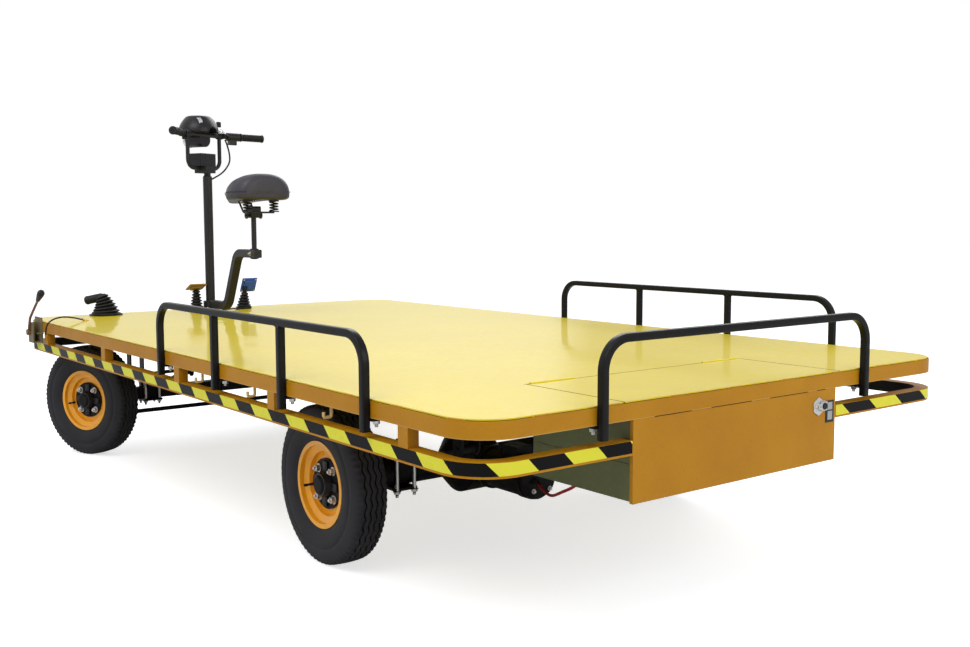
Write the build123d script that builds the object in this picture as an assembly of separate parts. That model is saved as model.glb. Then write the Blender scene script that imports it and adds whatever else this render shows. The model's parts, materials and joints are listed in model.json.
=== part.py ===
from build123d import *
import os
from math import atan2, cos, degrees, radians, sin, sqrt

os.makedirs("parts", exist_ok=True)

# Electric platform cart: a ride-on flat bed with a battery box at the rear.
# +X is forward, +Y is the rider's left, +Z is up. Millimetres.
# All is drawn about the middle of the deck and then moved, so that the origin
# lies on the floor below the middle of the whole cart.
MIDDLE_X = 19.3
MIDDLE_Y = 7.5

# Wheels, drawn about Y with the outer face towards +Y
TYRE_R = 233.0
TYRE_W = 108.0
FLANGE_R = 127.0
SEAT_R = 117.0
WELL_R = 98.0
RIM_W = 86.0
RIM_T = 3.0
DISC_OFFSET = 6.0
DISC_BORE_R = 34.0
HUB_FLANGE_R = 74.0
HUB_CAP_R = 27.0
HUB_BACK = 58.0
DRUM_R = 86.0
DRUM_FRONT = 14.0
SPINDLE_R = 15.0
SPINDLE_END = 20.0
SPINDLE_FIT = 0.05
PLATE_GAP = 1.0
BACKING_T = 4.0

# Deck and its edge channel; the tyres clear the channel by WHEEL_CLEAR
DECK_L = 3200.0
DECK_W = 1800.0
DECK_CORNER_R = 120.0
WHEEL_CLEAR = 67.0
RIM_H = 40.0
RIM_WALL = 4.0
RIM_DEPTH = 40.0
PLATE_T = 4.0
PLATE_INSET = 5.0
HALF_L = DECK_L / 2
HALF_W = DECK_W / 2
RIM_BOTTOM = 2 * TYRE_R + WHEEL_CLEAR
RIM_TOP = RIM_BOTTOM + RIM_H
DECK_TOP = RIM_TOP + PLATE_T

# Battery box below the deck's rear edge
BOX_LEFT = 438.0
BOX_RIGHT = -340.0
BOX_L = 357.0
BOX_DROP = 195.0
BOX_WALL = 3.0
BOX_BOTTOM = RIM_BOTTOM - BOX_DROP
BOX_FRONT = -HALF_L + BOX_L
PANEL_T = 3.0
PANEL_FLANGE = 28.0
PANEL_BOTTOM = BOX_BOTTOM - 4.0
BATTERY_GAP = 12.0
BATTERY_H = 175.0

# Hatch over the box
HATCH_FRONT = BOX_FRONT - 2.0
HATCH_LEFT = BOX_LEFT + 30.0
HATCH_RIGHT = BOX_RIGHT - 28.0
HATCH_SEAM = 4.0
HATCH_LIFT = 0.5
HATCH_PIN_R = 3.5
HATCH_PIN_INSET = 90.0
HATCH_BARREL_L = 50.0
PIN_FIT = 0.05

# Key switch on the rear panel
KEY_Y = BOX_RIGHT + 76.0
KEY_Z = RIM_BOTTOM - 44.0
KEY_PLATE_R = 25.5
KEY_T = 3.0
KEY_BARREL_R = 8.0
KEY_BARREL_L = 9.0

# Bumper rail and its posts, as parts of the deck's length and width
BUMPER_DROP = 48.0
BUMPER_H = 35.0
BUMPER_D = 38.0
BUMPER_WALL = 3.0
BUMPER_TOP = RIM_BOTTOM - BUMPER_DROP
POST_W = 40.0
POST_D = 30.0
SIDE_POSTS = [0.4125, 0.1969, -0.0156, -0.2172, -0.4172]
FRONT_POSTS = [0.3333, 0.1111, -0.1111, -0.3333]

# Guard rails: first leg and last leg as parts of the deck's length
GUARD_LEGS = 4
LEFT_GUARD = (0.015, -0.3725)
RIGHT_GUARD = (0.0422, -0.3731)
REAR_GUARD_REACH = (110.0, 120.0)
GUARD_TUBE = 30.0
GUARD_WALL = 2.0
GUARD_H = 160.0
GUARD_BEND_R = 70.0
GUARD_FOOT_DROP = 35.0
GUARD_LUG_T = 8.0
GUARD_LUG_L = 50.0
GUARD_TOP = DECK_TOP + GUARD_H

# Rope hooks below the edge channel, as parts of the deck's length
HOOKS = [-0.0641, -0.175, -0.3078]
HOOK_ROD_R = 4.0
HOOK_DROP = 30.0
HOOK_REACH = 22.0

# Chassis below the deck; its cross members stand over the side posts
RAIL_INSET = 460.0
RAIL_W = 50.0
RAIL_H = 90.0
RAIL_WALL = 4.0
CROSS_W = 40.0
RAIL_Y = HALF_W - RAIL_INSET
RAIL_FRONT = HALF_L - 40.0
RAIL_BOTTOM = RIM_BOTTOM - RAIL_H

# Axles, kingpins and steering links
FRONT_OVERHANG = 203.0
REAR_OVERHANG = 990.0
WHEEL_INSET = 233.0
KINGPIN_OFFSET = 109.0
KINGPIN_IN = 54.0
KINGPIN_R = 10.0
BEAM = 50.0
BOSS_R = 22.0
BOSS_H = 70.0
EAR_T = 15.0
EAR_GAP = 0.3
CRANK = 110.0
LINK_PIN_R = 7.0
LINK_EYE_R = 16.0
LINK_EYE_H = 18.0
TIE_ROD_R = 9.0
DRAG_LINK_R = 8.0
DRAG_RISE = 92.0
REST_STEER = 24.0
FRONT_AXLE_X = HALF_L - FRONT_OVERHANG
REAR_AXLE_X = -HALF_L + REAR_OVERHANG
REAR_WHEEL_Y = HALF_W - WHEEL_INSET
KINGPIN_Y = REAR_WHEEL_Y - KINGPIN_IN
DRAG_Z = TYRE_R + DRAG_RISE
TIE_Z = TYRE_R - BOSS_H / 2 - EAR_GAP - EAR_T - 14.0

# Rear axle, gear case and motor
AXLE_TUBE_R = 40.0
GEAR_IN = 275.0
GEAR_Y = RAIL_Y - GEAR_IN
GEAR_R = 95.0
GEAR_HALF = 50.0
GEAR_SLOPE = 55.0
MOTOR_R = 62.0
MOTOR_L = 230.0
MOTOR_FRONT = REAR_AXLE_X - GEAR_R - 25.0

# Leaf springs: reach of the top leaf to the front and to the rear of the axle
FRONT_SPRING = (165.0, 400.0)
REAR_SPRING = (350.0, 350.0)
LEAF_ARC_R = 1000.0
LEAF_T = 8.0
LEAF_W = 50.0
LEAF_COUNT = 3
LEAF_STEP = 95.0
LEAF_LEAST = 70.0
EYE_R = 14.0
SPRING_PAD = 6.0
HANGER_W = 44.0
HANGER_T = 6.0

# Steering column
COLUMN_X = HALF_L - 100.0
COLUMN_Y = 95.0
COLUMN_H = 637.0
COLUMN_R = 21.0
COLUMN_WALL = 2.5
COLUMN_NECK_R = 15.0
COLUMN_SHAFT_R = 15.0
COLUMN_TOP = DECK_TOP + COLUMN_H
COLLAR_R = 33.0
COLLAR_H = 42.0
FLANGE_T = 8.0

# Handlebar on its fork, about the column's axis
FORK_H = 177.0
FORK_HALF = 106.0
FORK_FRONT = 18.0
FORK_R = 9.0
FORK_RUN = 22.0
BAR_Z = COLUMN_TOP + FORK_H
BAR_R = 11.0
BAR_HALF = 298.0
BAR_SWEEP = 80.0
BAR_FRONT = 16.0
BAR_STRAIGHT = 95.0
BAR_FALL = 4.0
GRIP_R = 16.5
GRIP_L = 112.0
CONTROLLER_H = 58.0

# Headlamp and instrument housing
POD_X = 46.0
POD_R = 91.0
POD_H = 80.0
POD_LOW = BAR_Z + 7.0
POD_MOUTH_R = 26.0
LAMP_Z = BAR_Z - 21.0
LAMP_R = 35.0

# Seat arm, post and saddle
SEAT_BACK = 470.0
SEAT_X = COLUMN_X - SEAT_BACK
ARM_TUBE = 36.0
ARM_LIFT = 29.0
ARM_RISE = 244.0
ARM_KNEES = (0.404, 0.66)
ARM_LOW = DECK_TOP + ARM_LIFT
ARM_HIGH = ARM_LOW + ARM_RISE
SEAT_POST_R = 11.0
POST_RISE = 155.0
CLAMP_H = 50.0
SPRING_H = 52.0
SADDLE_H = 110.0
SADDLE_W = 265.0
CLAMP_Z = ARM_HIGH + POST_RISE
SADDLE_BOTTOM = CLAMP_Z + CLAMP_H + 25.0
SADDLE_TOP = SADDLE_BOTTOM + SADDLE_H
SADDLE_RAIL_Z = SADDLE_BOTTOM - SPRING_H
SADDLE_RAIL_Y = 26.3
SADDLE_RAIL_R = 4.0
COIL_X = -71.0
COIL_Y = 62.0
COIL_R = 17.0
COIL_WIRE_R = 3.2
COIL_CUP_R = 22.0

# Pedals on the deck, about the column's foot
BRAKE_X = COLUMN_X
BRAKE_Y = COLUMN_Y + 70.0
ACCEL_X = COLUMN_X - 45.0
ACCEL_Y = COLUMN_Y - 147.0

# Parking brake on the left edge, near the front corner
BRACKET_X = HALF_L - 145.0
BRACKET_L = 95.0
BRACKET_W = 32.0
BRACKET_T = 5.0
BRACKET_RISE = 20.0
PIVOT_X = BRACKET_X - 23.0
PIVOT_Z = BUMPER_TOP + 45.0
KNOB_X = PIVOT_X - 132.0
KNOB_Z = PIVOT_Z + 160.0
CABLE_BEHIND = 39.0
CABLE_X = SIDE_POSTS[0] * DECK_L - CABLE_BEHIND
CABLE_Y = HALF_W - 152.0
CABLE_HOLE_R = 7.0
CABLE_R = 4.0
GAITER_X = HALF_L - 88.0
GAITER_Y = HALF_W - 316.0
GAITER_TURN = 42.0


def block(x0, x1, y0, y1, z0, z1):
    """A box between two corners."""
    size = (abs(x1 - x0), abs(y1 - y0), abs(z1 - z0))
    centre = ((x0 + x1) / 2, (y0 + y1) / 2, (z0 + z1) / 2)
    return Pos(*centre) * Box(*size)


def rod(x, y, z0, z1, radius):
    """An upright cylinder."""
    return Pos(x, y, (z0 + z1) / 2) * Cylinder(radius, abs(z1 - z0))


def rod_y(x, z, y0, y1, radius):
    """A cylinder along Y."""
    return Pos(x, (y0 + y1) / 2, z) * Rot(90, 0, 0) * Cylinder(radius, abs(y1 - y0))


def rod_x(y, z, x0, x1, radius):
    """A cylinder along X."""
    return Pos((x0 + x1) / 2, y, z) * Rot(0, 90, 0) * Cylinder(radius, abs(x1 - x0))


def plate_outline(inset):
    """The deck's rounded outline, drawn in from the outer edge."""
    return RectangleRounded(DECK_L - 2 * inset, DECK_W - 2 * inset, DECK_CORNER_R - inset)


def deck_slab(inset, z0, z1):
    """A slab with the deck's outline."""
    return Pos(0, 0, z0) * extrude(plate_outline(inset), amount=z1 - z0)


def own_solids(*shapes):
    """Welded lengths that stay solids of their own."""
    return Compound([solid for shape in shapes for solid in shape.solids()])


def loop_lengths(loop):
    """A loop round the deck, cut into straight lengths and corner bends."""
    bend_x = HALF_L - DECK_CORNER_R
    bend_y = HALF_W - DECK_CORNER_R
    lengths = []
    for x0, x1 in ((-HALF_L, -bend_x), (-bend_x, bend_x), (bend_x, HALF_L)):
        for y0, y1 in ((-HALF_W, -bend_y), (-bend_y, bend_y), (bend_y, HALF_W)):
            lengths += (loop & block(x0, x1, y0, y1, 0, DECK_TOP)).solids()
    return lengths


def save(shape, name):
    """Write one node about the whole cart's middle."""
    export_step(Pos(-MIDDLE_X, -MIDDLE_Y, 0) * shape, "parts/" + name + ".step")


# Deck plate with the hatch opening and the hole for the lever cable
def make_deck_plate():
    plate = deck_slab(PLATE_INSET, RIM_TOP, DECK_TOP)
    plate -= block(-HALF_L, HATCH_FRONT, HATCH_RIGHT, HATCH_LEFT, RIM_TOP, DECK_TOP)
    plate -= rod(COLUMN_X, COLUMN_Y, RIM_TOP, DECK_TOP, COLUMN_SHAFT_R + 6)
    plate -= rod(CABLE_X, CABLE_Y, RIM_TOP, DECK_TOP, CABLE_HOLE_R)
    for y in hatch_pin_places():
        plate -= hatch_pin_slot(y)
    return plate


def hatch_pin_places():
    """Middles of the hatch's two hinge barrels."""
    return [HATCH_LEFT - HATCH_PIN_INSET, HATCH_RIGHT + HATCH_PIN_INSET]


def hatch_axis():
    """The hatch turns at the deck's surface, in its front seam."""
    return (HATCH_FRONT - HATCH_SEAM / 2, DECK_TOP)


def hatch_pin_slot(y):
    """Room for one hinge in the edge of a plate."""
    x, z = hatch_axis()
    half = 1.5 * HATCH_BARREL_L + 1.0
    reach = HATCH_PIN_R + 1.0
    return block(x - reach, x + reach, y - half, y + half, RIM_TOP - 20, DECK_TOP + 20)


def make_hatch():
    x_axis, z_axis = hatch_axis()
    y0 = HATCH_RIGHT + HATCH_SEAM
    y1 = HATCH_LEFT - HATCH_SEAM
    z0 = RIM_TOP + HATCH_LIFT
    lid = deck_slab(PLATE_INSET, z0, DECK_TOP)
    lid &= block(-HALF_L, HATCH_FRONT - HATCH_SEAM, y0, y1, z0, DECK_TOP)
    for y in hatch_pin_places():
        lid -= hatch_pin_slot(y)
        half = HATCH_BARREL_L / 2
        barrel = rod_y(x_axis, z_axis, y - half, y + half, HATCH_PIN_R)
        leaf = block(x_axis - 22, x_axis, y - half, y + half, z0, DECK_TOP)
        lid += leaf + barrel
        lid -= rod_y(x_axis, z_axis, y - half, y + half, HATCH_PIN_R / 2 + PIN_FIT)
    return lid


def make_hatch_hinge(y):
    """Pin and two outer knuckles, welded to the deck plate."""
    x_axis, z_axis = hatch_axis()
    inner = HATCH_BARREL_L / 2 + 0.5
    outer = 1.5 * HATCH_BARREL_L
    hinge = rod_y(x_axis, z_axis, y - outer, y + outer, HATCH_PIN_R / 2)
    for y0, y1 in ((y + inner, y + outer), (y - outer, y - inner)):
        hinge += rod_y(x_axis, z_axis, y0, y1, HATCH_PIN_R)
        hinge += block(x_axis, x_axis + HATCH_PIN_R + 1.0, y0, y1, RIM_TOP, DECK_TOP)
    return hinge


# Edge channel of the deck, open to the inside, with the rope hooks on it
def rope_hook(x, side):
    """An open hook of round rod, welded below the edge channel."""
    y = side * (HALF_W - RIM_DEPTH / 2)
    foot = (x, y, RIM_BOTTOM)
    low = (x, y, RIM_BOTTOM - HOOK_DROP)
    tip = (x, y + side * HOOK_REACH, RIM_BOTTOM - HOOK_DROP)
    end = (x, y + side * HOOK_REACH, RIM_BOTTOM - HOOK_DROP + 14)
    path = FilletPolyline(foot, low, tip, end, radius=6)
    return sweep(Plane(origin=foot, z_dir=(0, 0, -1)) * Circle(HOOK_ROD_R), path=path)


def make_deck_rim():
    rim = deck_slab(0, RIM_BOTTOM, RIM_TOP) - deck_slab(RIM_DEPTH, RIM_BOTTOM, RIM_TOP)
    hollow = deck_slab(RIM_WALL, RIM_BOTTOM + RIM_WALL, RIM_TOP - RIM_WALL)
    hollow -= deck_slab(RIM_DEPTH + 1, RIM_BOTTOM, RIM_TOP)
    hooks = [rope_hook(part * DECK_L, side) for side in (1, -1) for part in HOOKS]
    return own_solids(*loop_lengths(rim - hollow), *hooks)


# Chassis: two box rails under cross members that carry the deck
def make_chassis_frame():
    z1 = RIM_BOTTOM
    z0 = RAIL_BOTTOM
    frame = []
    reach = HALF_W - RIM_DEPTH
    for x in cross_places():
        member = block(x - CROSS_W / 2, x + CROSS_W / 2, -reach, reach, RIM_BOTTOM, RIM_TOP)
        member -= block(
            x - CROSS_W / 2 + RIM_WALL,
            x + CROSS_W / 2 - RIM_WALL,
            -reach,
            reach,
            RIM_BOTTOM + RIM_WALL,
            RIM_TOP - RIM_WALL,
        )
        frame.append(member)
    for side in (1, -1):
        y0 = side * RAIL_Y - RAIL_W / 2
        y1 = side * RAIL_Y + RAIL_W / 2
        rail = block(BOX_FRONT, RAIL_FRONT, y0, y1, z0, z1)
        rail -= block(
            BOX_FRONT,
            RAIL_FRONT,
            y0 + RAIL_WALL,
            y1 - RAIL_WALL,
            z0 + RAIL_WALL,
            z1 - RAIL_WALL,
        )
        frame.append(rail)
    return own_solids(*frame, column_support())


def cross_places():
    """Middles of the cross members; the last one seats the battery box."""
    return [part * DECK_L for part in SIDE_POSTS[:-1]] + [BOX_FRONT + CROSS_W / 2]


def spring_places():
    return (
        (FRONT_AXLE_X, FRONT_SPRING[0], FRONT_SPRING[1]),
        (REAR_AXLE_X, REAR_SPRING[0], REAR_SPRING[1]),
    )


# Leaf springs: arcs about one centre, so that the leaves lie on each other
def pad_top(x_axle):
    """Height of the spring pad on the axle."""
    half = BEAM / 2 if x_axle == FRONT_AXLE_X else AXLE_TUBE_R
    return TYRE_R + half + SPRING_PAD


def arc_centre_z(x_axle):
    """Centre of the arcs, above the axle."""
    return pad_top(x_axle) + LEAF_COUNT * LEAF_T + LEAF_ARC_R


def eye_place(x_axle, reach):
    """Middle of a spring eye at this reach from the axle."""
    radius = LEAF_ARC_R + LEAF_T / 2
    x = x_axle + reach
    return (x, arc_centre_z(x_axle) - sqrt(radius * radius - reach * reach))


def leaf(x_axle, index, front, rear):
    """One leaf, the top one first."""
    zc = arc_centre_z(x_axle)
    r0 = LEAF_ARC_R + index * LEAF_T
    r1 = r0 + LEAF_T
    band = Pos(x_axle, 0, zc) * Rot(90, 0, 0) * Cylinder(r1, LEAF_W)
    band -= Pos(x_axle, 0, zc) * Rot(90, 0, 0) * Cylinder(r0, LEAF_W)
    window = block(x_axle - rear, x_axle + front, -LEAF_W, LEAF_W, zc - r1, zc - r0 + 200)
    return band & window


def make_spring(x_axle, side, front, rear):
    spring = None
    for index in range(LEAF_COUNT):
        f = max(front - index * LEAF_STEP, LEAF_LEAST)
        r = max(rear - index * LEAF_STEP, LEAF_LEAST)
        piece = leaf(x_axle, index, f, r)
        spring = piece if spring is None else spring + piece
    for reach in (front, -rear):
        x, z = eye_place(x_axle, reach)
        spring += rod_y(x, z, -LEAF_W / 2, LEAF_W / 2, EYE_R)
        spring -= rod_y(x, z, -LEAF_W / 2, LEAF_W / 2, EYE_R / 2)
    top = arc_centre_z(x_axle) - LEAF_ARC_R
    half = BEAM / 2 if x_axle == FRONT_AXLE_X else AXLE_TUBE_R
    low = TYRE_R - half
    spring += block(x_axle - 50, x_axle + 50, -LEAF_W / 2 - 14, LEAF_W / 2 + 14, top, top + 8)
    spring += block(
        x_axle - 50, x_axle + 50, -LEAF_W / 2 - 14, LEAF_W / 2 + 14, low - 8, low
    )
    for dx in (-half - 5, half + 5):
        for dy in (-LEAF_W / 2 - 6, LEAF_W / 2 + 6):
            spring += rod(x_axle + dx, dy, low - 20, top + 20, 5)
    return Pos(0, side * RAIL_Y, 0) * spring


def spring_hangers(x_axle, side, front, rear):
    """Two cheeks and a pin at each eye, down from the rail."""
    hangers = None
    half = HANGER_W / 2
    inner = LEAF_W / 2 + 1
    outer = inner + HANGER_T
    middle = side * RAIL_Y
    for reach in (front, -rear):
        x, z = eye_place(x_axle, reach)
        for dy in (-1, 1):
            y0 = middle + dy * inner
            y1 = middle + dy * outer
            cheek = block(x - half, x + half, y0, y1, z, RAIL_BOTTOM)
            cheek += rod_y(x, z, y0, y1, half)
            hangers = cheek if hangers is None else hangers + cheek
        hangers += rod_y(x, z, middle - outer - 5, middle + outer + 5, EYE_R / 2)
        hangers += block(
            x - half, x + half, middle - outer, middle + outer, RAIL_BOTTOM - HANGER_T, RAIL_BOTTOM
        )
    return hangers & block(-HALF_L, HALF_L, -HALF_W, HALF_W, 0, RAIL_BOTTOM)


# Bumper rail: a rounded loop that is open at the battery box, with its posts
def make_bumper_rail():
    z0 = BUMPER_TOP - BUMPER_H
    rail = deck_slab(0, z0, BUMPER_TOP) - deck_slab(BUMPER_D, z0, BUMPER_TOP)
    core = deck_slab(BUMPER_WALL, z0 + BUMPER_WALL, BUMPER_TOP - BUMPER_WALL)
    core -= deck_slab(BUMPER_D - BUMPER_WALL, z0, BUMPER_TOP)
    rail -= core
    y0 = BOX_RIGHT - PANEL_T
    y1 = BOX_LEFT + PANEL_T
    rail -= block(-HALF_L, -HALF_L + 200, y0, y1, z0, BUMPER_TOP)
    posts = []
    for side in (1, -1):
        outer = side * HALF_W
        inner = side * (HALF_W - POST_D)
        for part in SIDE_POSTS:
            x = part * DECK_L
            posts.append(
                block(x - POST_W / 2, x + POST_W / 2, inner, outer, BUMPER_TOP, RIM_BOTTOM)
            )
    for part in FRONT_POSTS:
        y = part * DECK_W
        posts.append(
            block(HALF_L - POST_D, HALF_L, y - POST_W / 2, y + POST_W / 2, BUMPER_TOP, RIM_BOTTOM)
        )
    return own_solids(*loop_lengths(rail), *posts)


# Guard rails: bent square tube, outside the edge channel
def guard_tube(points, outer, section):
    """A bent square tube along the points."""
    path = FilletPolyline(*points, radius=GUARD_BEND_R)
    plane = Plane(origin=points[0], z_dir=(0, 0, 1))
    return sweep(plane * section(outer), path=path)


def square_section(size):
    return RectangleRounded(size, size, size * 0.13)


def guard_legs(first, last):
    """Evenly spaced legs along the deck."""
    pitch = (last - first) * DECK_L / (GUARD_LEGS - 1)
    return [first * DECK_L + k * pitch for k in range(GUARD_LEGS)]


def make_guard(legs, fixed, along_x):
    """A hoop over the first and last leg, with any legs between them."""
    mid_top = GUARD_TOP - GUARD_TUBE / 2
    low = RIM_BOTTOM - GUARD_FOOT_DROP

    def place(value, z):
        return (value, fixed, z) if along_x else (fixed, value, z)

    points = [
        place(legs[0], low),
        place(legs[0], mid_top),
        place(legs[-1], mid_top),
        place(legs[-1], low),
    ]
    hoop = guard_tube(points, GUARD_TUBE, square_section)
    hoop -= guard_tube(points, GUARD_TUBE - 2 * GUARD_WALL, square_section)
    guard = [hoop]
    for value in legs[1:-1]:
        leg = extrude(square_section(GUARD_TUBE), amount=GUARD_TOP - GUARD_TUBE - low)
        guard.append(Pos(*place(value, low)) * leg)
    sign = 1 if fixed > 0 else -1
    edge = abs(fixed) - GUARD_TUBE / 2
    for value in legs:
        half = GUARD_TUBE / 2
        a, b = sign * edge, sign * (edge - GUARD_LUG_L)
        z0, z1 = RIM_BOTTOM - GUARD_LUG_T, RIM_BOTTOM
        if along_x:
            lug = block(value - half, value + half, a, b, z0, z1)
            bolt = rod(value, (a + b) / 2, z0 - 9, z0, 9)
        else:
            lug = block(a, b, value - half, value + half, z0, z1)
            bolt = rod((a + b) / 2, value, z0 - 9, z0, 9)
        guard.append(lug + bolt)
    return own_solids(*guard)


# Battery box, its rear panel and the battery
def make_battery_box():
    rear = -HALF_L + PANEL_T
    rear_top = -HALF_L + RIM_DEPTH
    outer = block(rear, BOX_FRONT, BOX_RIGHT, BOX_LEFT, BOX_BOTTOM, RIM_BOTTOM)
    outer += block(rear_top, BOX_FRONT, BOX_RIGHT, BOX_LEFT, RIM_BOTTOM, RIM_TOP)
    hollow = block(
        rear + BOX_WALL,
        BOX_FRONT - BOX_WALL,
        BOX_RIGHT + BOX_WALL,
        BOX_LEFT - BOX_WALL,
        BOX_BOTTOM + BOX_WALL,
        RIM_BOTTOM,
    )
    hollow += block(
        rear_top + BOX_WALL,
        BOX_FRONT - BOX_WALL,
        BOX_RIGHT + BOX_WALL,
        BOX_LEFT - BOX_WALL,
        RIM_BOTTOM - 1,
        RIM_TOP,
    )
    return outer - hollow


def make_rear_panel():
    x0 = -HALF_L
    y0 = BOX_RIGHT - PANEL_T
    y1 = BOX_LEFT + PANEL_T
    panel = block(x0, x0 + PANEL_T, y0, y1, PANEL_BOTTOM, RIM_BOTTOM)
    for a, b in ((BOX_LEFT, y1), (y0, BOX_RIGHT)):
        panel += block(x0, x0 + PANEL_FLANGE, a, b, PANEL_BOTTOM, RIM_BOTTOM)
    panel += block(x0, x0 + PANEL_FLANGE, y0, y1, PANEL_BOTTOM, BOX_BOTTOM)
    return panel


def make_battery():
    z0 = BOX_BOTTOM + BOX_WALL
    return block(
        -HALF_L + PANEL_T + BOX_WALL + BATTERY_GAP,
        BOX_FRONT - BOX_WALL - BATTERY_GAP,
        BOX_RIGHT + BOX_WALL + BATTERY_GAP,
        BOX_LEFT - BOX_WALL - BATTERY_GAP,
        z0,
        z0 + BATTERY_H,
    )


def make_key_switch():
    """A six-sided plate with a round key barrel."""
    face = Plane(origin=(-HALF_L, KEY_Y, KEY_Z), z_dir=(-1, 0, 0))
    plate = extrude(face * RegularPolygon(KEY_PLATE_R, 6), amount=KEY_T)
    barrel = extrude(face * Circle(KEY_BARREL_R), amount=KEY_BARREL_L)
    slot = Plane(origin=(-HALF_L - KEY_BARREL_L, KEY_Y, KEY_Z), z_dir=(-1, 0, 0))
    return plate + barrel - extrude(slot * Rectangle(2, 8), amount=-4)


# Wheels, drawn about Y with the outer face towards +Y, then placed
def revolve_y(points):
    """Turn an outline of (radius, y) points about the wheel's axis."""
    outline = make_face(Polyline(*[(r, y, 0) for r, y in points], close=True))
    return revolve(outline, axis=Axis.Y)


def make_tyre():
    half = TYRE_W / 2
    bead = RIM_W / 2 - RIM_T
    shoulder = half * 0.82
    crown = TYRE_R
    side_r = (TYRE_R + FLANGE_R) / 2
    toe = FLANGE_R + 9
    cheek = bead + 8
    with BuildSketch() as section:
        with BuildLine():
            Line((SEAT_R, -bead), (SEAT_R, bead))
            Line((SEAT_R, bead), (FLANGE_R + 1, bead))
            Line((FLANGE_R + 1, bead), (toe, cheek))
            ThreePointArc((toe, cheek), (side_r, half), (crown - 12, shoulder + 4))
            ThreePointArc(
                (crown - 12, shoulder + 4), (crown - 3, shoulder - 2), (crown - 2, shoulder - 9)
            )
            ThreePointArc(
                (crown - 2, shoulder - 9), (crown, 0), (crown - 2, -shoulder + 9)
            )
            ThreePointArc(
                (crown - 2, -shoulder + 9),
                (crown - 3, -shoulder + 2),
                (crown - 12, -shoulder - 4),
            )
            ThreePointArc((crown - 12, -shoulder - 4), (side_r, -half), (toe, -cheek))
            Line((toe, -cheek), (FLANGE_R + 1, -bead))
            Line((FLANGE_R + 1, -bead), (SEAT_R, -bead))
        make_face()
    return revolve(section.sketch, axis=Axis.Y)


def make_wheel_rim():
    """A one-piece drop-centre rim with its disc."""
    half = RIM_W / 2
    well = half * 0.42
    t = RIM_T
    outer = [
        (FLANGE_R, half),
        (FLANGE_R, half - t),
        (SEAT_R, half - t),
        (SEAT_R, well + 8),
        (WELL_R, well),
        (WELL_R, -well),
        (SEAT_R, -well - 8),
        (SEAT_R, -half + t),
        (FLANGE_R, -half + t),
        (FLANGE_R, -half),
        (SEAT_R - t, -half),
        (SEAT_R - t, -well - 8 - t),
        (WELL_R - t, -well - t),
        (WELL_R - t, DISC_OFFSET - 4),
        (HUB_FLANGE_R + 6, DISC_OFFSET),
        (DISC_BORE_R, DISC_OFFSET),
        (DISC_BORE_R, DISC_OFFSET + 5),
        (HUB_FLANGE_R + 6, DISC_OFFSET + 5),
        (WELL_R - t, DISC_OFFSET + 2),
        (WELL_R - t, well + t),
        (SEAT_R - t, well + 8 + t),
        (SEAT_R - t, half),
    ]
    return revolve_y(outer)


def make_hub():
    """Hub with its bearing cap, bolting flange and brake drum."""
    face = DISC_OFFSET + 5.3
    back = DISC_OFFSET - 0.3
    hub = revolve_y(
        [
            (SPINDLE_R + SPINDLE_FIT, -HUB_BACK),
            (DRUM_R, -HUB_BACK),
            (DRUM_R, -DRUM_FRONT),
            (HUB_FLANGE_R, -DRUM_FRONT + 6),
            (HUB_FLANGE_R, back),
            (DISC_BORE_R - 0.5, back),
            (DISC_BORE_R - 0.5, face),
            (HUB_FLANGE_R, face),
            (HUB_FLANGE_R, face + 7),
            (HUB_CAP_R + 8, face + 7),
            (HUB_CAP_R + 4, face + 15),
            (HUB_CAP_R, face + 32),
            (HUB_CAP_R - 5, face + 37),
            (0, face + 37),
            (0, SPINDLE_END + 1.0),
            (SPINDLE_R + SPINDLE_FIT, SPINDLE_END + 1.0),
        ]
    )
    return hub


def place_wheel(shape, x, y, side, steer):
    """Put a wheel piece on its spindle, turned with the knuckle if it steers."""
    local = shape if side > 0 else mirror(shape, about=Plane.XZ)
    if not steer:
        return Pos(x, y, TYRE_R) * local
    placed = Pos(0, side * KINGPIN_OFFSET, 0) * local
    turned = Rot(0, 0, REST_STEER) * placed
    return Pos(FRONT_AXLE_X, side * KINGPIN_Y, TYRE_R) * turned


# Front axle beam with a boss at each kingpin
def make_front_axle():
    reach = KINGPIN_Y
    low, high = TYRE_R - BEAM / 2, TYRE_R + BEAM / 2
    axle = block(
        FRONT_AXLE_X - BEAM / 2, FRONT_AXLE_X + BEAM / 2, -reach + 18, reach - 18, low, high
    )
    for side in (1, -1):
        y = side * KINGPIN_Y
        axle += rod(FRONT_AXLE_X, y, TYRE_R - BOSS_H / 2, TYRE_R + BOSS_H / 2, BOSS_R)
        axle -= rod(
            FRONT_AXLE_X, y, TYRE_R - BOSS_H, TYRE_R + BOSS_H, KINGPIN_R + SPINDLE_FIT
        )
        pad_y0 = side * RAIL_Y - LEAF_W / 2
        pad_y1 = side * RAIL_Y + LEAF_W / 2
        axle += block(
            FRONT_AXLE_X - 45, FRONT_AXLE_X + 45, pad_y0, pad_y1, high, high + SPRING_PAD
        )
    return axle


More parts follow.
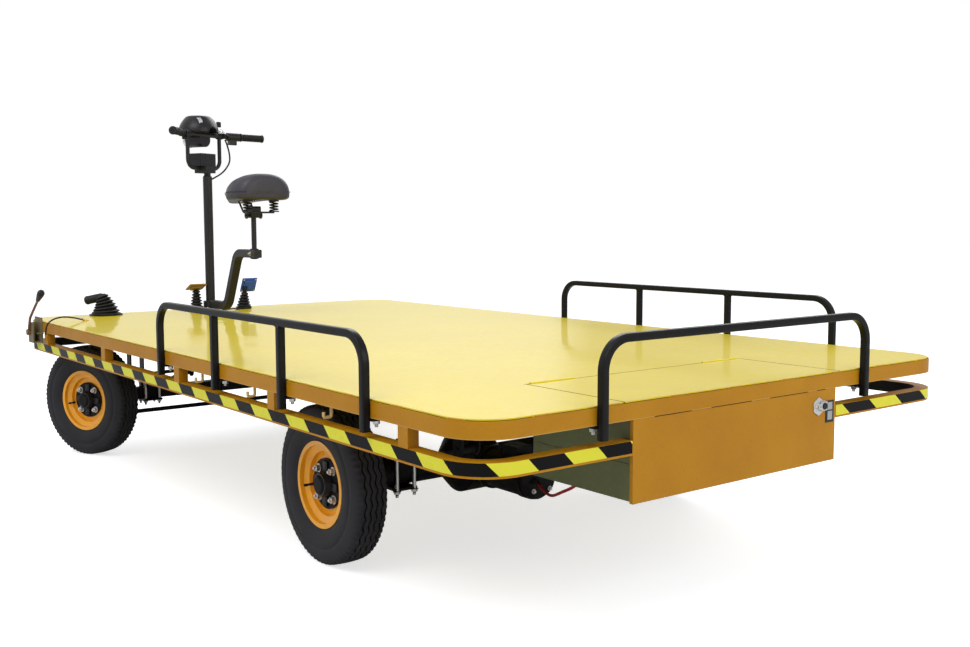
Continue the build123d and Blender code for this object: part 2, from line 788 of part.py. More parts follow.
# Steering knuckle, drawn about its kingpin with the wheel straight ahead
def make_knuckle(side):
    """Fork about the axle's boss, kingpin, spindle, backing plate and arms."""
    ear0 = BOSS_H / 2 + EAR_GAP
    ear1 = ear0 + EAR_T
    web = BOSS_R + 5
    knuckle = rod(0, 0, -ear1, ear1, KINGPIN_R)
    for z0, z1 in ((ear0, ear1), (-ear1, -ear0)):
        knuckle += rod(0, 0, z0, z1, BOSS_R)
        knuckle += block(-BOSS_R, BOSS_R, 0, side * (web + 14), z0, z1)
    knuckle += block(-BOSS_R, BOSS_R, side * web, side * (web + 14), -ear1, ear1)
    inner = side * (KINGPIN_OFFSET - HUB_BACK - PLATE_GAP)
    knuckle += rod_y(0, 0, side * web, side * (KINGPIN_OFFSET + SPINDLE_END), SPINDLE_R)
    knuckle += rod_y(0, 0, inner - side * BACKING_T, inner, DRUM_R + 4)
    arm_z = -ear1
    knuckle += block(-CRANK, 0, -11, 11, arm_z, arm_z + 12)
    knuckle += rod(-CRANK, 0, arm_z, arm_z + 12, 15)
    knuckle += rod(-CRANK, 0, arm_z - 26, arm_z + 12, LINK_PIN_R)
    if side > 0:
        knuckle += block(-CRANK, 0, -11, 11, ear1, ear1 + 10)
        knuckle += rod(-CRANK, 0, ear1, ear1 + 10, 15)
        knuckle += rod(0, 0, ear1, ear1 + 10, BOSS_R)
        knuckle += rod(-CRANK, 0, ear1, DRAG_Z - TYRE_R + 14, LINK_PIN_R)
    return knuckle


def crank_pin(x, y):
    """Where a crank's pin is at rest, with the wheels turned."""
    angle = radians(REST_STEER)
    return (x - CRANK * cos(angle), y - CRANK * sin(angle))


def link(bar, z, ends):
    """A bar with an eye on each crank pin."""
    for x, y in ends:
        bar += rod(x, y, z - LINK_EYE_H / 2, z + LINK_EYE_H / 2, LINK_EYE_R)
        bar -= rod(x, y, z - LINK_EYE_H, z + LINK_EYE_H, LINK_PIN_R + SPINDLE_FIT)
    return bar


def make_tie_rod():
    left = crank_pin(FRONT_AXLE_X, KINGPIN_Y)
    right = crank_pin(FRONT_AXLE_X, -KINGPIN_Y)
    return link(rod_y(left[0], TIE_Z, right[1], left[1], TIE_ROD_R), TIE_Z, (left, right))


def make_drag_link():
    xa, ya = crank_pin(COLUMN_X, COLUMN_Y)
    xb, yb = crank_pin(FRONT_AXLE_X, KINGPIN_Y)
    length = sqrt((xb - xa) ** 2 + (yb - ya) ** 2)
    angle = degrees(atan2(yb - ya, xb - xa))
    place = Pos((xa + xb) / 2, (ya + yb) / 2, DRAG_Z) * Rot(0, 0, angle) * Rot(0, 90, 0)
    return link(place * Cylinder(DRAG_LINK_R, length), DRAG_Z, ((xa, ya), (xb, yb)))


# Rear axle with its gear case, and the motor behind it
def make_rear_axle():
    """Axle tube that swells into the gear case, with spindles and brake backing plates."""
    plate_y = REAR_WHEEL_Y - HUB_BACK - PLATE_GAP
    far = GEAR_HALF + GEAR_SLOPE
    outline = [
        (0, -plate_y),
        (AXLE_TUBE_R, -plate_y),
        (AXLE_TUBE_R, GEAR_Y - far),
        (GEAR_R, GEAR_Y - GEAR_HALF),
        (GEAR_R, GEAR_Y + GEAR_HALF),
        (AXLE_TUBE_R, GEAR_Y + far),
        (AXLE_TUBE_R, plate_y),
        (0, plate_y),
    ]
    axle = Pos(REAR_AXLE_X, 0, TYRE_R) * revolve_y(outline)
    axle += rod_x(GEAR_Y, TYRE_R, MOTOR_FRONT, REAR_AXLE_X, MOTOR_R - 6)
    for side in (1, -1):
        end = side * (REAR_WHEEL_Y + SPINDLE_END)
        axle += rod_y(REAR_AXLE_X, TYRE_R, side * (plate_y - 1), end, SPINDLE_R)
        y0 = side * (plate_y - BACKING_T)
        axle += rod_y(REAR_AXLE_X, TYRE_R, y0, side * plate_y, DRUM_R + 4)
        axle += block(
            REAR_AXLE_X - 45,
            REAR_AXLE_X + 45,
            side * RAIL_Y - LEAF_W / 2,
            side * RAIL_Y + LEAF_W / 2,
            TYRE_R,
            TYRE_R + AXLE_TUBE_R + SPRING_PAD,
        )
    return axle


def make_motor():
    """Motor with a flange, a brush band, a rounded end and its terminal box."""
    rows = [
        (0, 0),
        (MOTOR_R + 6, 0),
        (MOTOR_R + 6, 12),
        (MOTOR_R, 12),
        (MOTOR_R, MOTOR_L - 62),
        (MOTOR_R + 3, MOTOR_L - 62),
        (MOTOR_R + 3, MOTOR_L - 30),
        (MOTOR_R, MOTOR_L - 30),
        (MOTOR_R, MOTOR_L - 16),
        (MOTOR_R - 10, MOTOR_L),
        (0, MOTOR_L),
    ]
    outline = make_face(Polyline(*[(r, 0, h) for r, h in rows], close=True))
    body = revolve(outline, axis=Axis.Z)
    motor = Pos(MOTOR_FRONT, GEAR_Y, TYRE_R) * Rot(0, -90, 0) * body
    x = MOTOR_FRONT - MOTOR_L / 2
    motor += block(x - 35, x + 35, GEAR_Y - 30, GEAR_Y + 30, TYRE_R, TYRE_R + MOTOR_R + 24)
    return motor


# Steering column
def column_support():
    """Cross tie and bearing below the deck at the steering column."""
    y = RAIL_Y - RAIL_W / 2
    tie = block(COLUMN_X - 30, COLUMN_X + 30, -y, y, RIM_BOTTOM - 60, RIM_BOTTOM - 52)
    tie += rod(COLUMN_X, COLUMN_Y, RAIL_BOTTOM, RIM_BOTTOM - 52, 28)
    bore = COLUMN_SHAFT_R + SPINDLE_FIT
    return tie - rod(COLUMN_X, COLUMN_Y, RAIL_BOTTOM - 1, RIM_BOTTOM, bore)


def make_column_base():
    """Flanged collar that the column turns in, bolted to the deck."""
    base = rod(COLUMN_X, COLUMN_Y, DECK_TOP, DECK_TOP + FLANGE_T, COLLAR_R + 10)
    base += rod(COLUMN_X, COLUMN_Y, DECK_TOP, DECK_TOP + COLLAR_H, COLLAR_R)
    bore = COLUMN_SHAFT_R + SPINDLE_FIT
    base -= rod(COLUMN_X, COLUMN_Y, DECK_TOP - 1, DECK_TOP + COLLAR_H + 1, bore)
    return base


def make_column():
    """Round tube with a rounded shoulder on a round shaft, with the crank at its foot."""
    z_tube = DECK_TOP + COLLAR_H + EAR_GAP
    shoulder = COLUMN_R - COLUMN_NECK_R
    z_neck = COLUMN_TOP - 14
    foot = DRAG_Z + 10
    with BuildSketch(Plane.XZ) as section:
        with BuildLine():
            Line((0, foot), (COLUMN_SHAFT_R, foot))
            Line((COLUMN_SHAFT_R, foot), (COLUMN_SHAFT_R, z_tube))
            Line((COLUMN_SHAFT_R, z_tube), (COLUMN_R, z_tube))
            Line((COLUMN_R, z_tube), (COLUMN_R, z_neck - shoulder))
            Spline(
                (COLUMN_R, z_neck - shoulder),
                (COLUMN_NECK_R, z_neck + shoulder),
                tangents=((0, 1), (0, 1)),
            )
            Line((COLUMN_NECK_R, z_neck + shoulder), (COLUMN_NECK_R, COLUMN_TOP))
            Line((COLUMN_NECK_R, COLUMN_TOP), (0, COLUMN_TOP))
            Line((0, COLUMN_TOP), (0, foot))
        make_face()
    column = revolve(section.sketch, axis=Axis.Z)
    column -= rod(0, 0, z_tube + 10, z_neck - 20, COLUMN_R - COLUMN_WALL)
    column += block(-CRANK, 0, -12, 12, foot, foot + 12)
    column += rod(0, 0, foot, foot + 12, 22)
    column += rod(-CRANK, 0, foot, foot + 12, 15)
    return column + rod(-CRANK, 0, DRAG_Z - 12, foot + 12, LINK_PIN_R)


def on_column(shape):
    """Place what turns with the column."""
    return Pos(COLUMN_X, COLUMN_Y, 0) * Rot(0, 0, REST_STEER) * shape


def bar_points():
    """Corners of the swept-back handlebar, right to left."""
    low = BAR_Z - BAR_FALL
    return [
        (-BAR_SWEEP, -BAR_HALF, low),
        (BAR_FRONT, -BAR_STRAIGHT, BAR_Z),
        (BAR_FRONT, BAR_STRAIGHT, BAR_Z),
        (-BAR_SWEEP, BAR_HALF, low),
    ]


def bar_tube(radius):
    points = bar_points()
    path = FilletPolyline(*points, radius=60)
    return sweep(Plane(origin=points[0], z_dir=path % 0) * Circle(radius), path=path)


def on_bar(side, back):
    """A plane across the swept part of the bar, this far in from its end."""
    end = Vector(-BAR_SWEEP, side * BAR_HALF, BAR_Z - BAR_FALL)
    inner = Vector(BAR_FRONT, side * BAR_STRAIGHT, BAR_Z)
    along = (end - inner).normalized()
    return Plane(origin=end - along * back, x_dir=(0, 0, 1), z_dir=along)


def make_handlebar():
    """Swept-back bar on a round U-shaped fork that stands on the column's crown."""
    run = COLUMN_TOP + FORK_RUN
    corners = [
        (FORK_FRONT, -FORK_HALF, BAR_Z),
        (FORK_FRONT, -FORK_HALF, run),
        (FORK_FRONT, FORK_HALF, run),
        (FORK_FRONT, FORK_HALF, BAR_Z),
    ]
    path = FilletPolyline(*corners, radius=42)
    start = Plane(origin=corners[0], z_dir=(0, 0, -1))
    fork = sweep(start * Circle(FORK_R), path=path)
    fork += block(-22, 48, -32, 32, COLUMN_TOP, run + FORK_R + 1)
    for side in (1, -1):
        y0, y1 = side * FORK_HALF - 13, side * FORK_HALF + 13
        fork += rod_y(FORK_FRONT, BAR_Z, y0, y1, BAR_R + 4)
    return fork + bar_tube(BAR_R)


def make_grip(side):
    """Rubber grip with a collar at each end."""
    rows = [
        (0, 0),
        (GRIP_R + 3, 0),
        (GRIP_R + 3, 5),
        (GRIP_R, 7),
        (GRIP_R, GRIP_L - 4),
        (GRIP_R + 2, GRIP_L - 2),
        (GRIP_R + 2, GRIP_L + 2),
        (GRIP_R - 2, GRIP_L + 5),
        (0, GRIP_L + 5),
    ]
    outline = make_face(Polyline(*[(r, 0, h) for r, h in rows], close=True))
    grip = on_bar(side, GRIP_L).location * revolve(outline, axis=Axis.Z)
    return grip - extrude(on_bar(side, GRIP_L) * Circle(BAR_R), amount=GRIP_L)


# Controls on the bar: side, inner end from the bar's end, length, radius, block down
CONTROLS = [
    (-1, 180.0, 62.0, 19.0, 34.0),
    (1, 178.0, 30.0, 17.0, 26.0),
]


def make_control(side, back, length, radius, drop):
    """A clamp round the bar with a small lever block below it."""
    plane = on_bar(side, back)
    clamp = extrude(plane * Circle(radius), amount=length)
    foot = plane * Pos(-drop / 2 - 4, 0, length * 0.45) * Box(drop, 24, length * 0.6)
    clamp += fillet(foot.edges().filter_by(Axis((0, 0, 0), plane.z_dir)), 5)
    return clamp - extrude(plane * Circle(BAR_R), amount=length)


def make_controller():
    z0 = COLUMN_TOP + FORK_RUN + FORK_R + 1
    box = block(-12, 76, -50, 50, z0, z0 + CONTROLLER_H)
    return fillet(box.edges().filter_by(Axis.Z), 7)


def make_instrument_pod():
    """Domed headlamp housing with a round lamp under its front and an arched mouth behind."""
    top = POD_LOW + POD_H
    with BuildSketch(Plane.XZ) as section:
        with BuildLine():
            Line((0, POD_LOW), (POD_R - 4, POD_LOW))
            Line((POD_R - 4, POD_LOW), (POD_R, POD_LOW + 6))
            Spline(
                (POD_R, POD_LOW + 6),
                (POD_R - 5, POD_LOW + 0.42 * POD_H),
                (POD_R * 0.7, POD_LOW + 0.85 * POD_H),
                (POD_R * 0.42, top),
                tangents=((0, 1), (-1, 0.05)),
            )
            Line((POD_R * 0.42, top), (0, top))
            Line((0, top), (0, POD_LOW))
        make_face()
    pod = Pos(POD_X, 0, 0) * revolve(section.sketch, axis=Axis.Z)
    pod -= rod_x(0, POD_LOW, POD_X - POD_R, POD_X - POD_R + 45, POD_MOUTH_R)
    pod += rod_x(0, LAMP_Z, 8, POD_X + 62, LAMP_R)
    pod += block(10, POD_X + 40, -LAMP_R + 4, LAMP_R - 4, LAMP_Z, POD_LOW + 10)
    return pod - rod_y(BAR_FRONT, BAR_Z, -BAR_STRAIGHT, BAR_STRAIGHT, BAR_R)


def make_column_cable():
    """Cable from the right-hand control down to the column's shoulder."""
    points = [
        (1, -128, BAR_Z - BAR_R - 4),
        (-8, -124, BAR_Z - 92),
        (-COLUMN_NECK_R - 4, -14, COLUMN_TOP - 26),
    ]
    path = FilletPolyline(*points, radius=55)
    start = Plane(origin=points[0], z_dir=path % 0)
    return sweep(start * Circle(2.5), path=path)


# Seat
def make_seat_arm():
    """Bent square tube from the column's foot back and up to the seat post."""
    knee_low, knee_high = [COLUMN_X - part * SEAT_BACK for part in ARM_KNEES]
    points = [
        (COLUMN_X - COLLAR_R + 8, COLUMN_Y, ARM_LOW),
        (knee_low, COLUMN_Y, ARM_LOW),
        (knee_high, COLUMN_Y, ARM_HIGH),
        (SEAT_X - 35, COLUMN_Y, ARM_HIGH),
    ]
    path = FilletPolyline(*points, radius=62)
    start = Plane(origin=points[0], x_dir=(0, 1, 0), z_dir=(-1, 0, 0))
    arm = sweep(start * RectangleRounded(ARM_TUBE, ARM_TUBE, 5), path=path)
    arm -= rod(COLUMN_X, COLUMN_Y, ARM_LOW - 40, ARM_LOW + 40, COLLAR_R)
    arm += rod(SEAT_X, COLUMN_Y, ARM_HIGH - 22, ARM_HIGH + 22, SEAT_POST_R + 7)
    arm -= rod(SEAT_X, COLUMN_Y, ARM_HIGH - 40, ARM_HIGH + 40, SEAT_POST_R)
    return arm


def make_seat_post():
    """Post with the saddle's clamp, its bolt and two washers."""
    top = CLAMP_Z + CLAMP_H
    half = SADDLE_RAIL_Y - SADDLE_RAIL_R - 0.3
    outer = SADDLE_RAIL_Y + SADDLE_RAIL_R + 0.3
    post = rod(SEAT_X, COLUMN_Y, ARM_HIGH - 24, top - 8, SEAT_POST_R)
    body = block(SEAT_X - 28, SEAT_X + 28, COLUMN_Y - half, COLUMN_Y + half, CLAMP_Z, top)
    post += fillet(body.edges().filter_by(Axis.Y), 8)
    z = SADDLE_RAIL_Z - 12
    post += rod_y(SEAT_X, z, COLUMN_Y - outer - 10, COLUMN_Y + outer + 10, 5)
    for side in (1, -1):
        y0 = COLUMN_Y + side * outer
        post += rod_y(SEAT_X, z, y0, y0 + side * 5, 15)
    return post


def saddle_coil(x, y):
    """A coil spring between two cups."""
    z0 = SADDLE_RAIL_Z + 2
    z1 = SADDLE_BOTTOM - 0.3
    cup = 5.0
    height = z1 - z0 - 2 * cup + 2
    wire = Helix(pitch=height / 3.5, height=height, radius=COIL_R)
    start = Plane(origin=wire @ 0, z_dir=wire % 0)
    coil = sweep(start * Circle(COIL_WIRE_R), path=wire, is_frenet=True)
    coil = Pos(x, y, z0 + cup - 1) * coil
    coil += rod(x, y, z0, z0 + cup, COIL_CUP_R)
    return coil + rod(x, y, z1 - cup, z1, COIL_CUP_R)


def make_saddle_springs():
    """Two rails that rise to the saddle's nose, and two coil springs behind."""
    z = SADDLE_RAIL_Z
    springs = rod_y(SEAT_X + COIL_X, z, COLUMN_Y - COIL_Y, COLUMN_Y + COIL_Y, SADDLE_RAIL_R)
    for side in (1, -1):
        y = COLUMN_Y + side * SADDLE_RAIL_Y
        points = [
            (SEAT_X + COIL_X, y, z),
            (SEAT_X + 42, y, z),
            (SEAT_X + 88, y, SADDLE_BOTTOM - 1),
        ]
        path = FilletPolyline(*points, radius=24)
        start = Plane(origin=points[0], z_dir=(1, 0, 0))
        rail = sweep(start * Circle(SADDLE_RAIL_R), path=path)
        top = SADDLE_BOTTOM - 0.3
        springs += rail - block(0, DECK_L, -HALF_W, HALF_W, top, top + 50)
    for side in (1, -1):
        springs += saddle_coil(SEAT_X + COIL_X, COLUMN_Y + side * COIL_Y)
    return springs


def saddle_section(dx, half, top, low):
    """One cross-section of the saddle: a crowned top over a flat underside."""
    plane = Plane(origin=(SEAT_X + dx, COLUMN_Y, 0), x_dir=(0, 1, 0), z_dir=(1, 0, 0))
    rise = top - low
    with BuildSketch(plane) as section:
        with BuildLine():
            Spline(
                (-half, low + 0.28 * rise),
                (-0.93 * half, low + 0.66 * rise),
                (-0.6 * half, low + 0.92 * rise),
                (0, top),
                (0.6 * half, low + 0.92 * rise),
                (0.93 * half, low + 0.66 * rise),
                (half, low + 0.28 * rise),
            )
            Line((half, low + 0.28 * rise), (0.88 * half, low))
            Line((0.88 * half, low), (-0.88 * half, low))
            Line((-0.88 * half, low), (-half, low + 0.28 * rise))
        make_face()
    return section.sketch


# Saddle rows: place before the post, half width, top below the crown, underside lift
SADDLE_ROWS = [
    (-136, 62, 34, 12),
    (-118, 100, 8, 2),
    (-80, 126, 0, 0),
    (-30, SADDLE_W / 2, 6, 0),
    (30, 116, 12, 0),
    (90, 80, 14, 2),
    (130, 54, 22, 8),
    (152, 30, 40, 20),
]


def make_saddle():
    """Broad padded saddle with its nose forward."""
    return loft([
        saddle_section(dx, half, SADDLE_TOP - drop, SADDLE_BOTTOM + lift)
        for dx, half, drop, lift in SADDLE_ROWS
    ])


# Pedals and levers
def fold(radius, waist, height):
    """One ring of a rubber bellows, widest at mid-height."""
    rows = [(0, 0), (waist, 0), (radius, height * 0.35), (radius, height * 0.55)]
    rows += [(waist, height), (0, height)]
    return revolve(make_face(Polyline(*[(r, 0, z) for r, z in rows], close=True)), axis=Axis.Z)


def bellows(x, y, radius, count, pitch, taper, lean, turn):
    """Rubber folds that shrink upwards and lean over by degrees towards one side."""
    boot = rod(x, y, DECK_TOP, DECK_TOP + pitch, radius)
    spot = Pos(x, y, DECK_TOP + pitch * 0.8) * Rot(0, 0, turn)
    for index in range(count):
        size = radius - 3 - taper * index
        spot = spot * Rot(0, lean, 0)
        boot += spot * fold(size, size - 7, pitch * 1.12)
        spot = spot * Pos(0, 0, pitch)
    return boot, spot


def make_brake_pedal():
    """Yellow pad on a rubber-booted stem."""
    boot, spot = bellows(BRAKE_X, BRAKE_Y, 24, 6, 11, 2, 0, 0)
    boot += spot * Pos(0, 0, 8) * Cylinder(8, 40)
    pad = Pos(BRAKE_X, BRAKE_Y, DECK_TOP + 92) * Rot(0, 25, 0) * Box(60, 82, 10)
    return boot + fillet(pad.edges().filter_by(lambda e: e.length < 11), 4)


def make_accelerator():
    """Steep pad on a rubber-booted stem that leans towards the rider."""
    boot, spot = bellows(ACCEL_X, ACCEL_Y, 36, 5, 14, 4, 4, 180)
    boot += spot * Pos(0, 0, 10) * Cylinder(10, 50)
    pad = Pos(ACCEL_X - 8, ACCEL_Y - 8, DECK_TOP + 110) * Rot(0, 62, 0) * Box(74, 76, 9)
    return boot + fillet(pad.edges().filter_by(lambda e: e.length < 10), 4)


def make_lever_bracket():
    """Channel bracket of the parking brake, welded to the bumper's side."""
    x0, x1 = BRACKET_X - BRACKET_L, BRACKET_X
    z0, z1 = BUMPER_TOP + 2, RIM_TOP + BRACKET_RISE
    w, t = BRACKET_W, BRACKET_T
    corners = [(0, z0), (w, z0), (w, z1 - 24), (w - t, z1 - 24), (w - t, z0 + t), (t, z0 + t)]
    corners += [(t, z1), (0, z1)]
    face = make_face(Polyline(*[(x0, HALF_W + y, z) for y, z in corners], close=True))
    bracket = extrude(face, amount=BRACKET_L, dir=(1, 0, 0))
    bracket -= block(x0, x0 + 30, HALF_W + t, HALF_W + w, z0, z1)
    bracket += block(x1 - t, x1, HALF_W, HALF_W + w, z0, z1 - 24)
    tab = z0 + 40
    return bracket + block(x0 - 12, x0, HALF_W, HALF_W + 26, tab, tab + t)


def make_brake_lever():
    """Bent rod with a long rounded knob, pivoted on the bracket's outer plate."""
    y = HALF_W + BRACKET_W + 6
    start = (PIVOT_X, y, PIVOT_Z)
    end = (KNOB_X, y - 6, KNOB_Z - 18)
    middle = (PIVOT_X - 30, y, PIVOT_Z + 62)
    path = FilletPolyline(start, middle, end, radius=45)
    lever = sweep(Plane(origin=start, z_dir=path % 0) * Circle(5), path=path)
    lever += rod_y(PIVOT_X, PIVOT_Z, HALF_W + BRACKET_W, y + 7, 12)
    along = (path % 1).normalized()
    rows = [(0, 0), (8, 0), (10, 14), (14, 40), (14.5, 52), (12, 60), (6, 65), (0, 65)]
    outline = make_face(Polyline(*[(r, 0, h) for r, h in rows], close=True))
    spot = Plane(origin=Vector(*end) - along * 4, z_dir=along)
    return lever + spot.location * revolve(outline, axis=Axis.Z)


def make_lever_cable():
    """Brake cable from the bracket's tab over the edge and down through the deck."""
    x0, y0 = BRACKET_X - BRACKET_L - 6, HALF_W + 14
    top = DECK_TOP + 30
    points = [
        (x0, y0, BUMPER_TOP + 47),
        (x0, y0, top),
        (CABLE_X, CABLE_Y, top),
        (CABLE_X, CABLE_Y, RIM_TOP - 12),
    ]
    path = FilletPolyline(*points, radius=30)
    start = Plane(origin=points[0], z_dir=(0, 0, 1))
    return sweep(start * Circle(CABLE_R), path=path)


def make_gaiter():
    """Rubber gaiter over a short tilting hand lever."""
    gaiter, spot = bellows(GAITER_X, GAITER_Y, 62, 6, 13, 6, 4, GAITER_TURN)
    handle = spot * Pos(0, 0, -6) * Rot(0, 78, 0) * Pos(0, 0, 40)
    return gaiter + handle * Cylinder(18, 80)


def make_battery_lead():
    """Lead that hangs between the motor's end and the battery box."""
    rear = MOTOR_FRONT - MOTOR_L - 0.3
    low = TYRE_R - 8
    points = [
        (rear, GEAR_Y + 30, TYRE_R + 15),
        (rear - 70, GEAR_Y + 30, TYRE_R + 10),
        (rear - 180, BOX_LEFT - 120, low),
        (BOX_FRONT - 60, BOX_LEFT - 40, low + 10),
        (BOX_FRONT - 60, BOX_LEFT - 40, BOX_BOTTOM - 0.3),
    ]
    path = FilletPolyline(*points, radius=40)
    start = Plane(origin=points[0], z_dir=path % 0)
    return sweep(start * Circle(5), path=path)


# Write the nodes
save(make_deck_plate(), "deck_plate")
save(make_hatch(), "deck_hatch")
for index, y in enumerate(hatch_pin_places()):
    save(make_hatch_hinge(y), "hatch_hinge_" + ("left", "right")[index])
save(make_deck_rim(), "deck_rim")
save(make_chassis_frame(), "chassis_frame")
save(make_bumper_rail(), "bumper_rail")
SIDE_GUARD = HALF_W + GUARD_TUBE / 2
save(make_guard(guard_legs(*LEFT_GUARD), SIDE_GUARD, True), "guard_left")
save(make_guard(guard_legs(*RIGHT_GUARD), -SIDE_GUARD, True), "guard_right")
REAR_LEGS = [BOX_LEFT + REAR_GUARD_REACH[0], BOX_RIGHT - REAR_GUARD_REACH[1]]
save(make_guard(REAR_LEGS, -HALF_L - GUARD_TUBE / 2, False), "guard_rear")
save(make_battery_box(), "battery_box")
save(make_rear_panel(), "rear_panel")
save(make_battery(), "battery")
save(make_key_switch(), "key_switch")
save(make_rear_axle(), "rear_axle")
save(make_motor(), "drive_motor")
save(make_front_axle(), "front_axle")
for name, side in (("left", 1), ("right", -1)):
    hangers = [spring_hangers(x, side, front, rear) for x, front, rear in spring_places()]
    save(hangers[0] + hangers[1], "spring_hangers_" + name)
    save(make_spring(FRONT_AXLE_X, side, *FRONT_SPRING), "front_spring_" + name)
    save(make_spring(REAR_AXLE_X, side, *REAR_SPRING), "rear_spring_" + name)
    knuckle = Rot(0, 0, REST_STEER) * make_knuckle(side)
    save(Pos(FRONT_AXLE_X, side * KINGPIN_Y, TYRE_R) * knuckle, "knuckle_" + name)
    for axle, x, steer in (("front", FRONT_AXLE_X, True), ("rear", REAR_AXLE_X, False)):
        y = side * REAR_WHEEL_Y
        tail = axle + "_" + name
        save(place_wheel(make_tyre(), x, y, side, steer), "tyre_" + tail)
        save(place_wheel(make_wheel_rim(), x, y, side, steer), "wheel_rim_" + tail)
        save(place_wheel(make_hub(), x, y, side, steer), "hub_" + tail)
save(make_tie_rod(), "tie_rod")
save(make_drag_link(), "drag_link")
save(make_column_base(), "column_base")
save(on_column(make_column()), "steering_column")
save(on_column(make_handlebar()), "handlebar")
save(on_column(make_grip(1)), "grip_left")
save(on_column(make_grip(-1)), "grip_right")
save(on_column(make_controller()), "controller_box")
save(on_column(make_instrument_pod()), "instrument_pod")
save(on_column(make_column_cable()), "column_cable")
save(on_column(Compound([make_control(*row) for row in CONTROLS])), "bar_controls")
save(make_seat_arm(), "seat_arm")
save(make_seat_post(), "seat_post")
save(make_saddle_springs(), "saddle_springs")
save(make_saddle(), "saddle")
save(make_brake_pedal(), "brake_pedal")
save(make_accelerator(), "accelerator_pedal")
save(make_lever_bracket(), "lever_bracket")
save(make_brake_lever(), "brake_lever")
save(make_lever_cable(), "lever_cable")
save(make_gaiter(), "lever_gaiter")
save(make_battery_lead(), "battery_lead")
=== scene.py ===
import json
import math

import bmesh
import bpy
from mathutils import Matrix, Vector


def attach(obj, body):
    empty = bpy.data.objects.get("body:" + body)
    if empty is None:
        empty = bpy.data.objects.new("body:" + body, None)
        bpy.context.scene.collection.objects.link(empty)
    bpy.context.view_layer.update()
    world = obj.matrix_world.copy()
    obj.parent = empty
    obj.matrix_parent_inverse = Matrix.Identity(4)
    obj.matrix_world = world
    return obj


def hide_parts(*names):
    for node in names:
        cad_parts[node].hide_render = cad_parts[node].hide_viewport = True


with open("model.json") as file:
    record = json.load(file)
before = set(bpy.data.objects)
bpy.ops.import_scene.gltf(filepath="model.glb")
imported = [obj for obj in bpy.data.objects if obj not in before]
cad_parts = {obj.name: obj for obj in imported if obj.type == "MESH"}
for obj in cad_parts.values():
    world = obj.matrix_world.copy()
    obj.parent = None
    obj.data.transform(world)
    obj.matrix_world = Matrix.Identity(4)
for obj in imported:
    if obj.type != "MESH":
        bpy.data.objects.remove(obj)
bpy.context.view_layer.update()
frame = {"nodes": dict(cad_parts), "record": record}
NODES = frame["nodes"]

# Places and sizes shared with the frame, in metres, from the middle of the deck
SHIFT = Vector((-0.0193, -0.0075, 0.0))
DECK_X, DECK_Y = 1.6, 0.9
DECK_TOP = 0.577
RIM_TOP = 0.573
RIM_BOTTOM = 0.533
BUMPER_TOP = 0.485
BUMPER_LOW = 0.450
CORNER_R = 0.120
STEER = math.radians(24)
COLUMN = Vector((1.5, 0.095, 0.0))
KINGPIN_X, KINGPIN_Y, KINGPIN_OFFSET = 1.397, 0.613, 0.109
WHEEL_Z = 0.233
REAR_X, REAR_Y = -0.610, 0.667
BOX_LEFT, BOX_RIGHT = 0.438, -0.340
HATCH_FRONT = -1.245
SPRING_Y = 0.440
UP = Vector((0, 0, 1))
REARWARD = (-1, 0, 0)

# The photograph's camera: focal length in pixels, place, and yaw, pitch and roll in degrees
FOCAL, PHOTO_WIDTH = 1094.84, 970
CAMERA_PLACE = Vector((-3.3499, 2.2352, 0.9885))
CAMERA_ANGLES = (37.909, -5.341, -0.143)


def make_camera():
    cam_data = bpy.data.cameras.new("camera")
    cam = bpy.data.objects.new("camera", cam_data)
    bpy.context.scene.collection.objects.link(cam)
    cam_data.sensor_width = 36.0
    cam_data.lens = FOCAL / PHOTO_WIDTH * 36.0
    yaw, pitch, roll = (math.radians(a) for a in CAMERA_ANGLES)
    level = Vector((math.cos(yaw), -math.sin(yaw), 0))
    across = Vector((-math.sin(yaw), -math.cos(yaw), 0))
    ahead = math.cos(pitch) * level + math.sin(pitch) * UP
    up = -math.sin(pitch) * level + math.cos(pitch) * UP
    right = math.cos(roll) * across + math.sin(roll) * up
    top = -math.sin(roll) * across + math.cos(roll) * up
    turn = Matrix((right, top, -ahead)).transposed().to_4x4()
    cam.matrix_world = Matrix.Translation(CAMERA_PLACE + SHIFT) @ turn
    cam_data.clip_end = 100
    bpy.context.scene.camera = cam


# Material helpers
def new_material(name):
    mat = bpy.data.materials.new(name)
    mat.use_nodes = True
    nt = mat.node_tree
    return mat, nt, nt.nodes["Principled BSDF"]


def feed(made, inputs):
    """Gives a node's inputs, by name or number, a link, a colour or a value."""
    for key, value in inputs.items():
        socket = made.inputs[key]
        if hasattr(value, "links"):
            made.id_data.links.new(value, socket)
        elif socket.type == "RGBA":
            socket.default_value = (*value, 1.0)
        else:
            socket.default_value = value


def node(nt, kind, inputs=None, **settings):
    made = nt.nodes.new(kind)
    for key, value in settings.items():
        setattr(made, key, value)
    feed(made, inputs or {})
    return made


def coords(nt):
    """Object coordinates, in metres."""
    return node(nt, "ShaderNodeTexCoord").outputs["Object"]


def noise(nt, vector, scale, detail=4.0, rough=0.55):
    inputs = {"Scale": scale, "Detail": detail, "Roughness": rough, "Vector": vector}
    return node(nt, "ShaderNodeTexNoise", inputs).outputs["Fac"]


def ramp(nt, value, stops):
    """Grey ramp from (position, grey) stops."""
    made = node(nt, "ShaderNodeValToRGB", {"Fac": value})
    elements = made.color_ramp.elements
    while len(elements) < len(stops):
        elements.new(0.5)
    for element, (position, grey) in zip(elements, stops):
        element.position = position
        element.color = (grey, grey, grey, 1.0)
    return made.outputs["Color"]


def mix(nt, fac, a, b):
    return node(nt, "ShaderNodeMix", {0: fac, 6: a, 7: b}, data_type="RGBA").outputs[2]


def maths(nt, op, a, b=0.0):
    return node(nt, "ShaderNodeMath", {0: a, 1: b}, operation=op).outputs[0]


def height_of(nt, vector):
    split = node(nt, "ShaderNodeSeparateXYZ", {0: vector})
    return split.outputs["Z"]


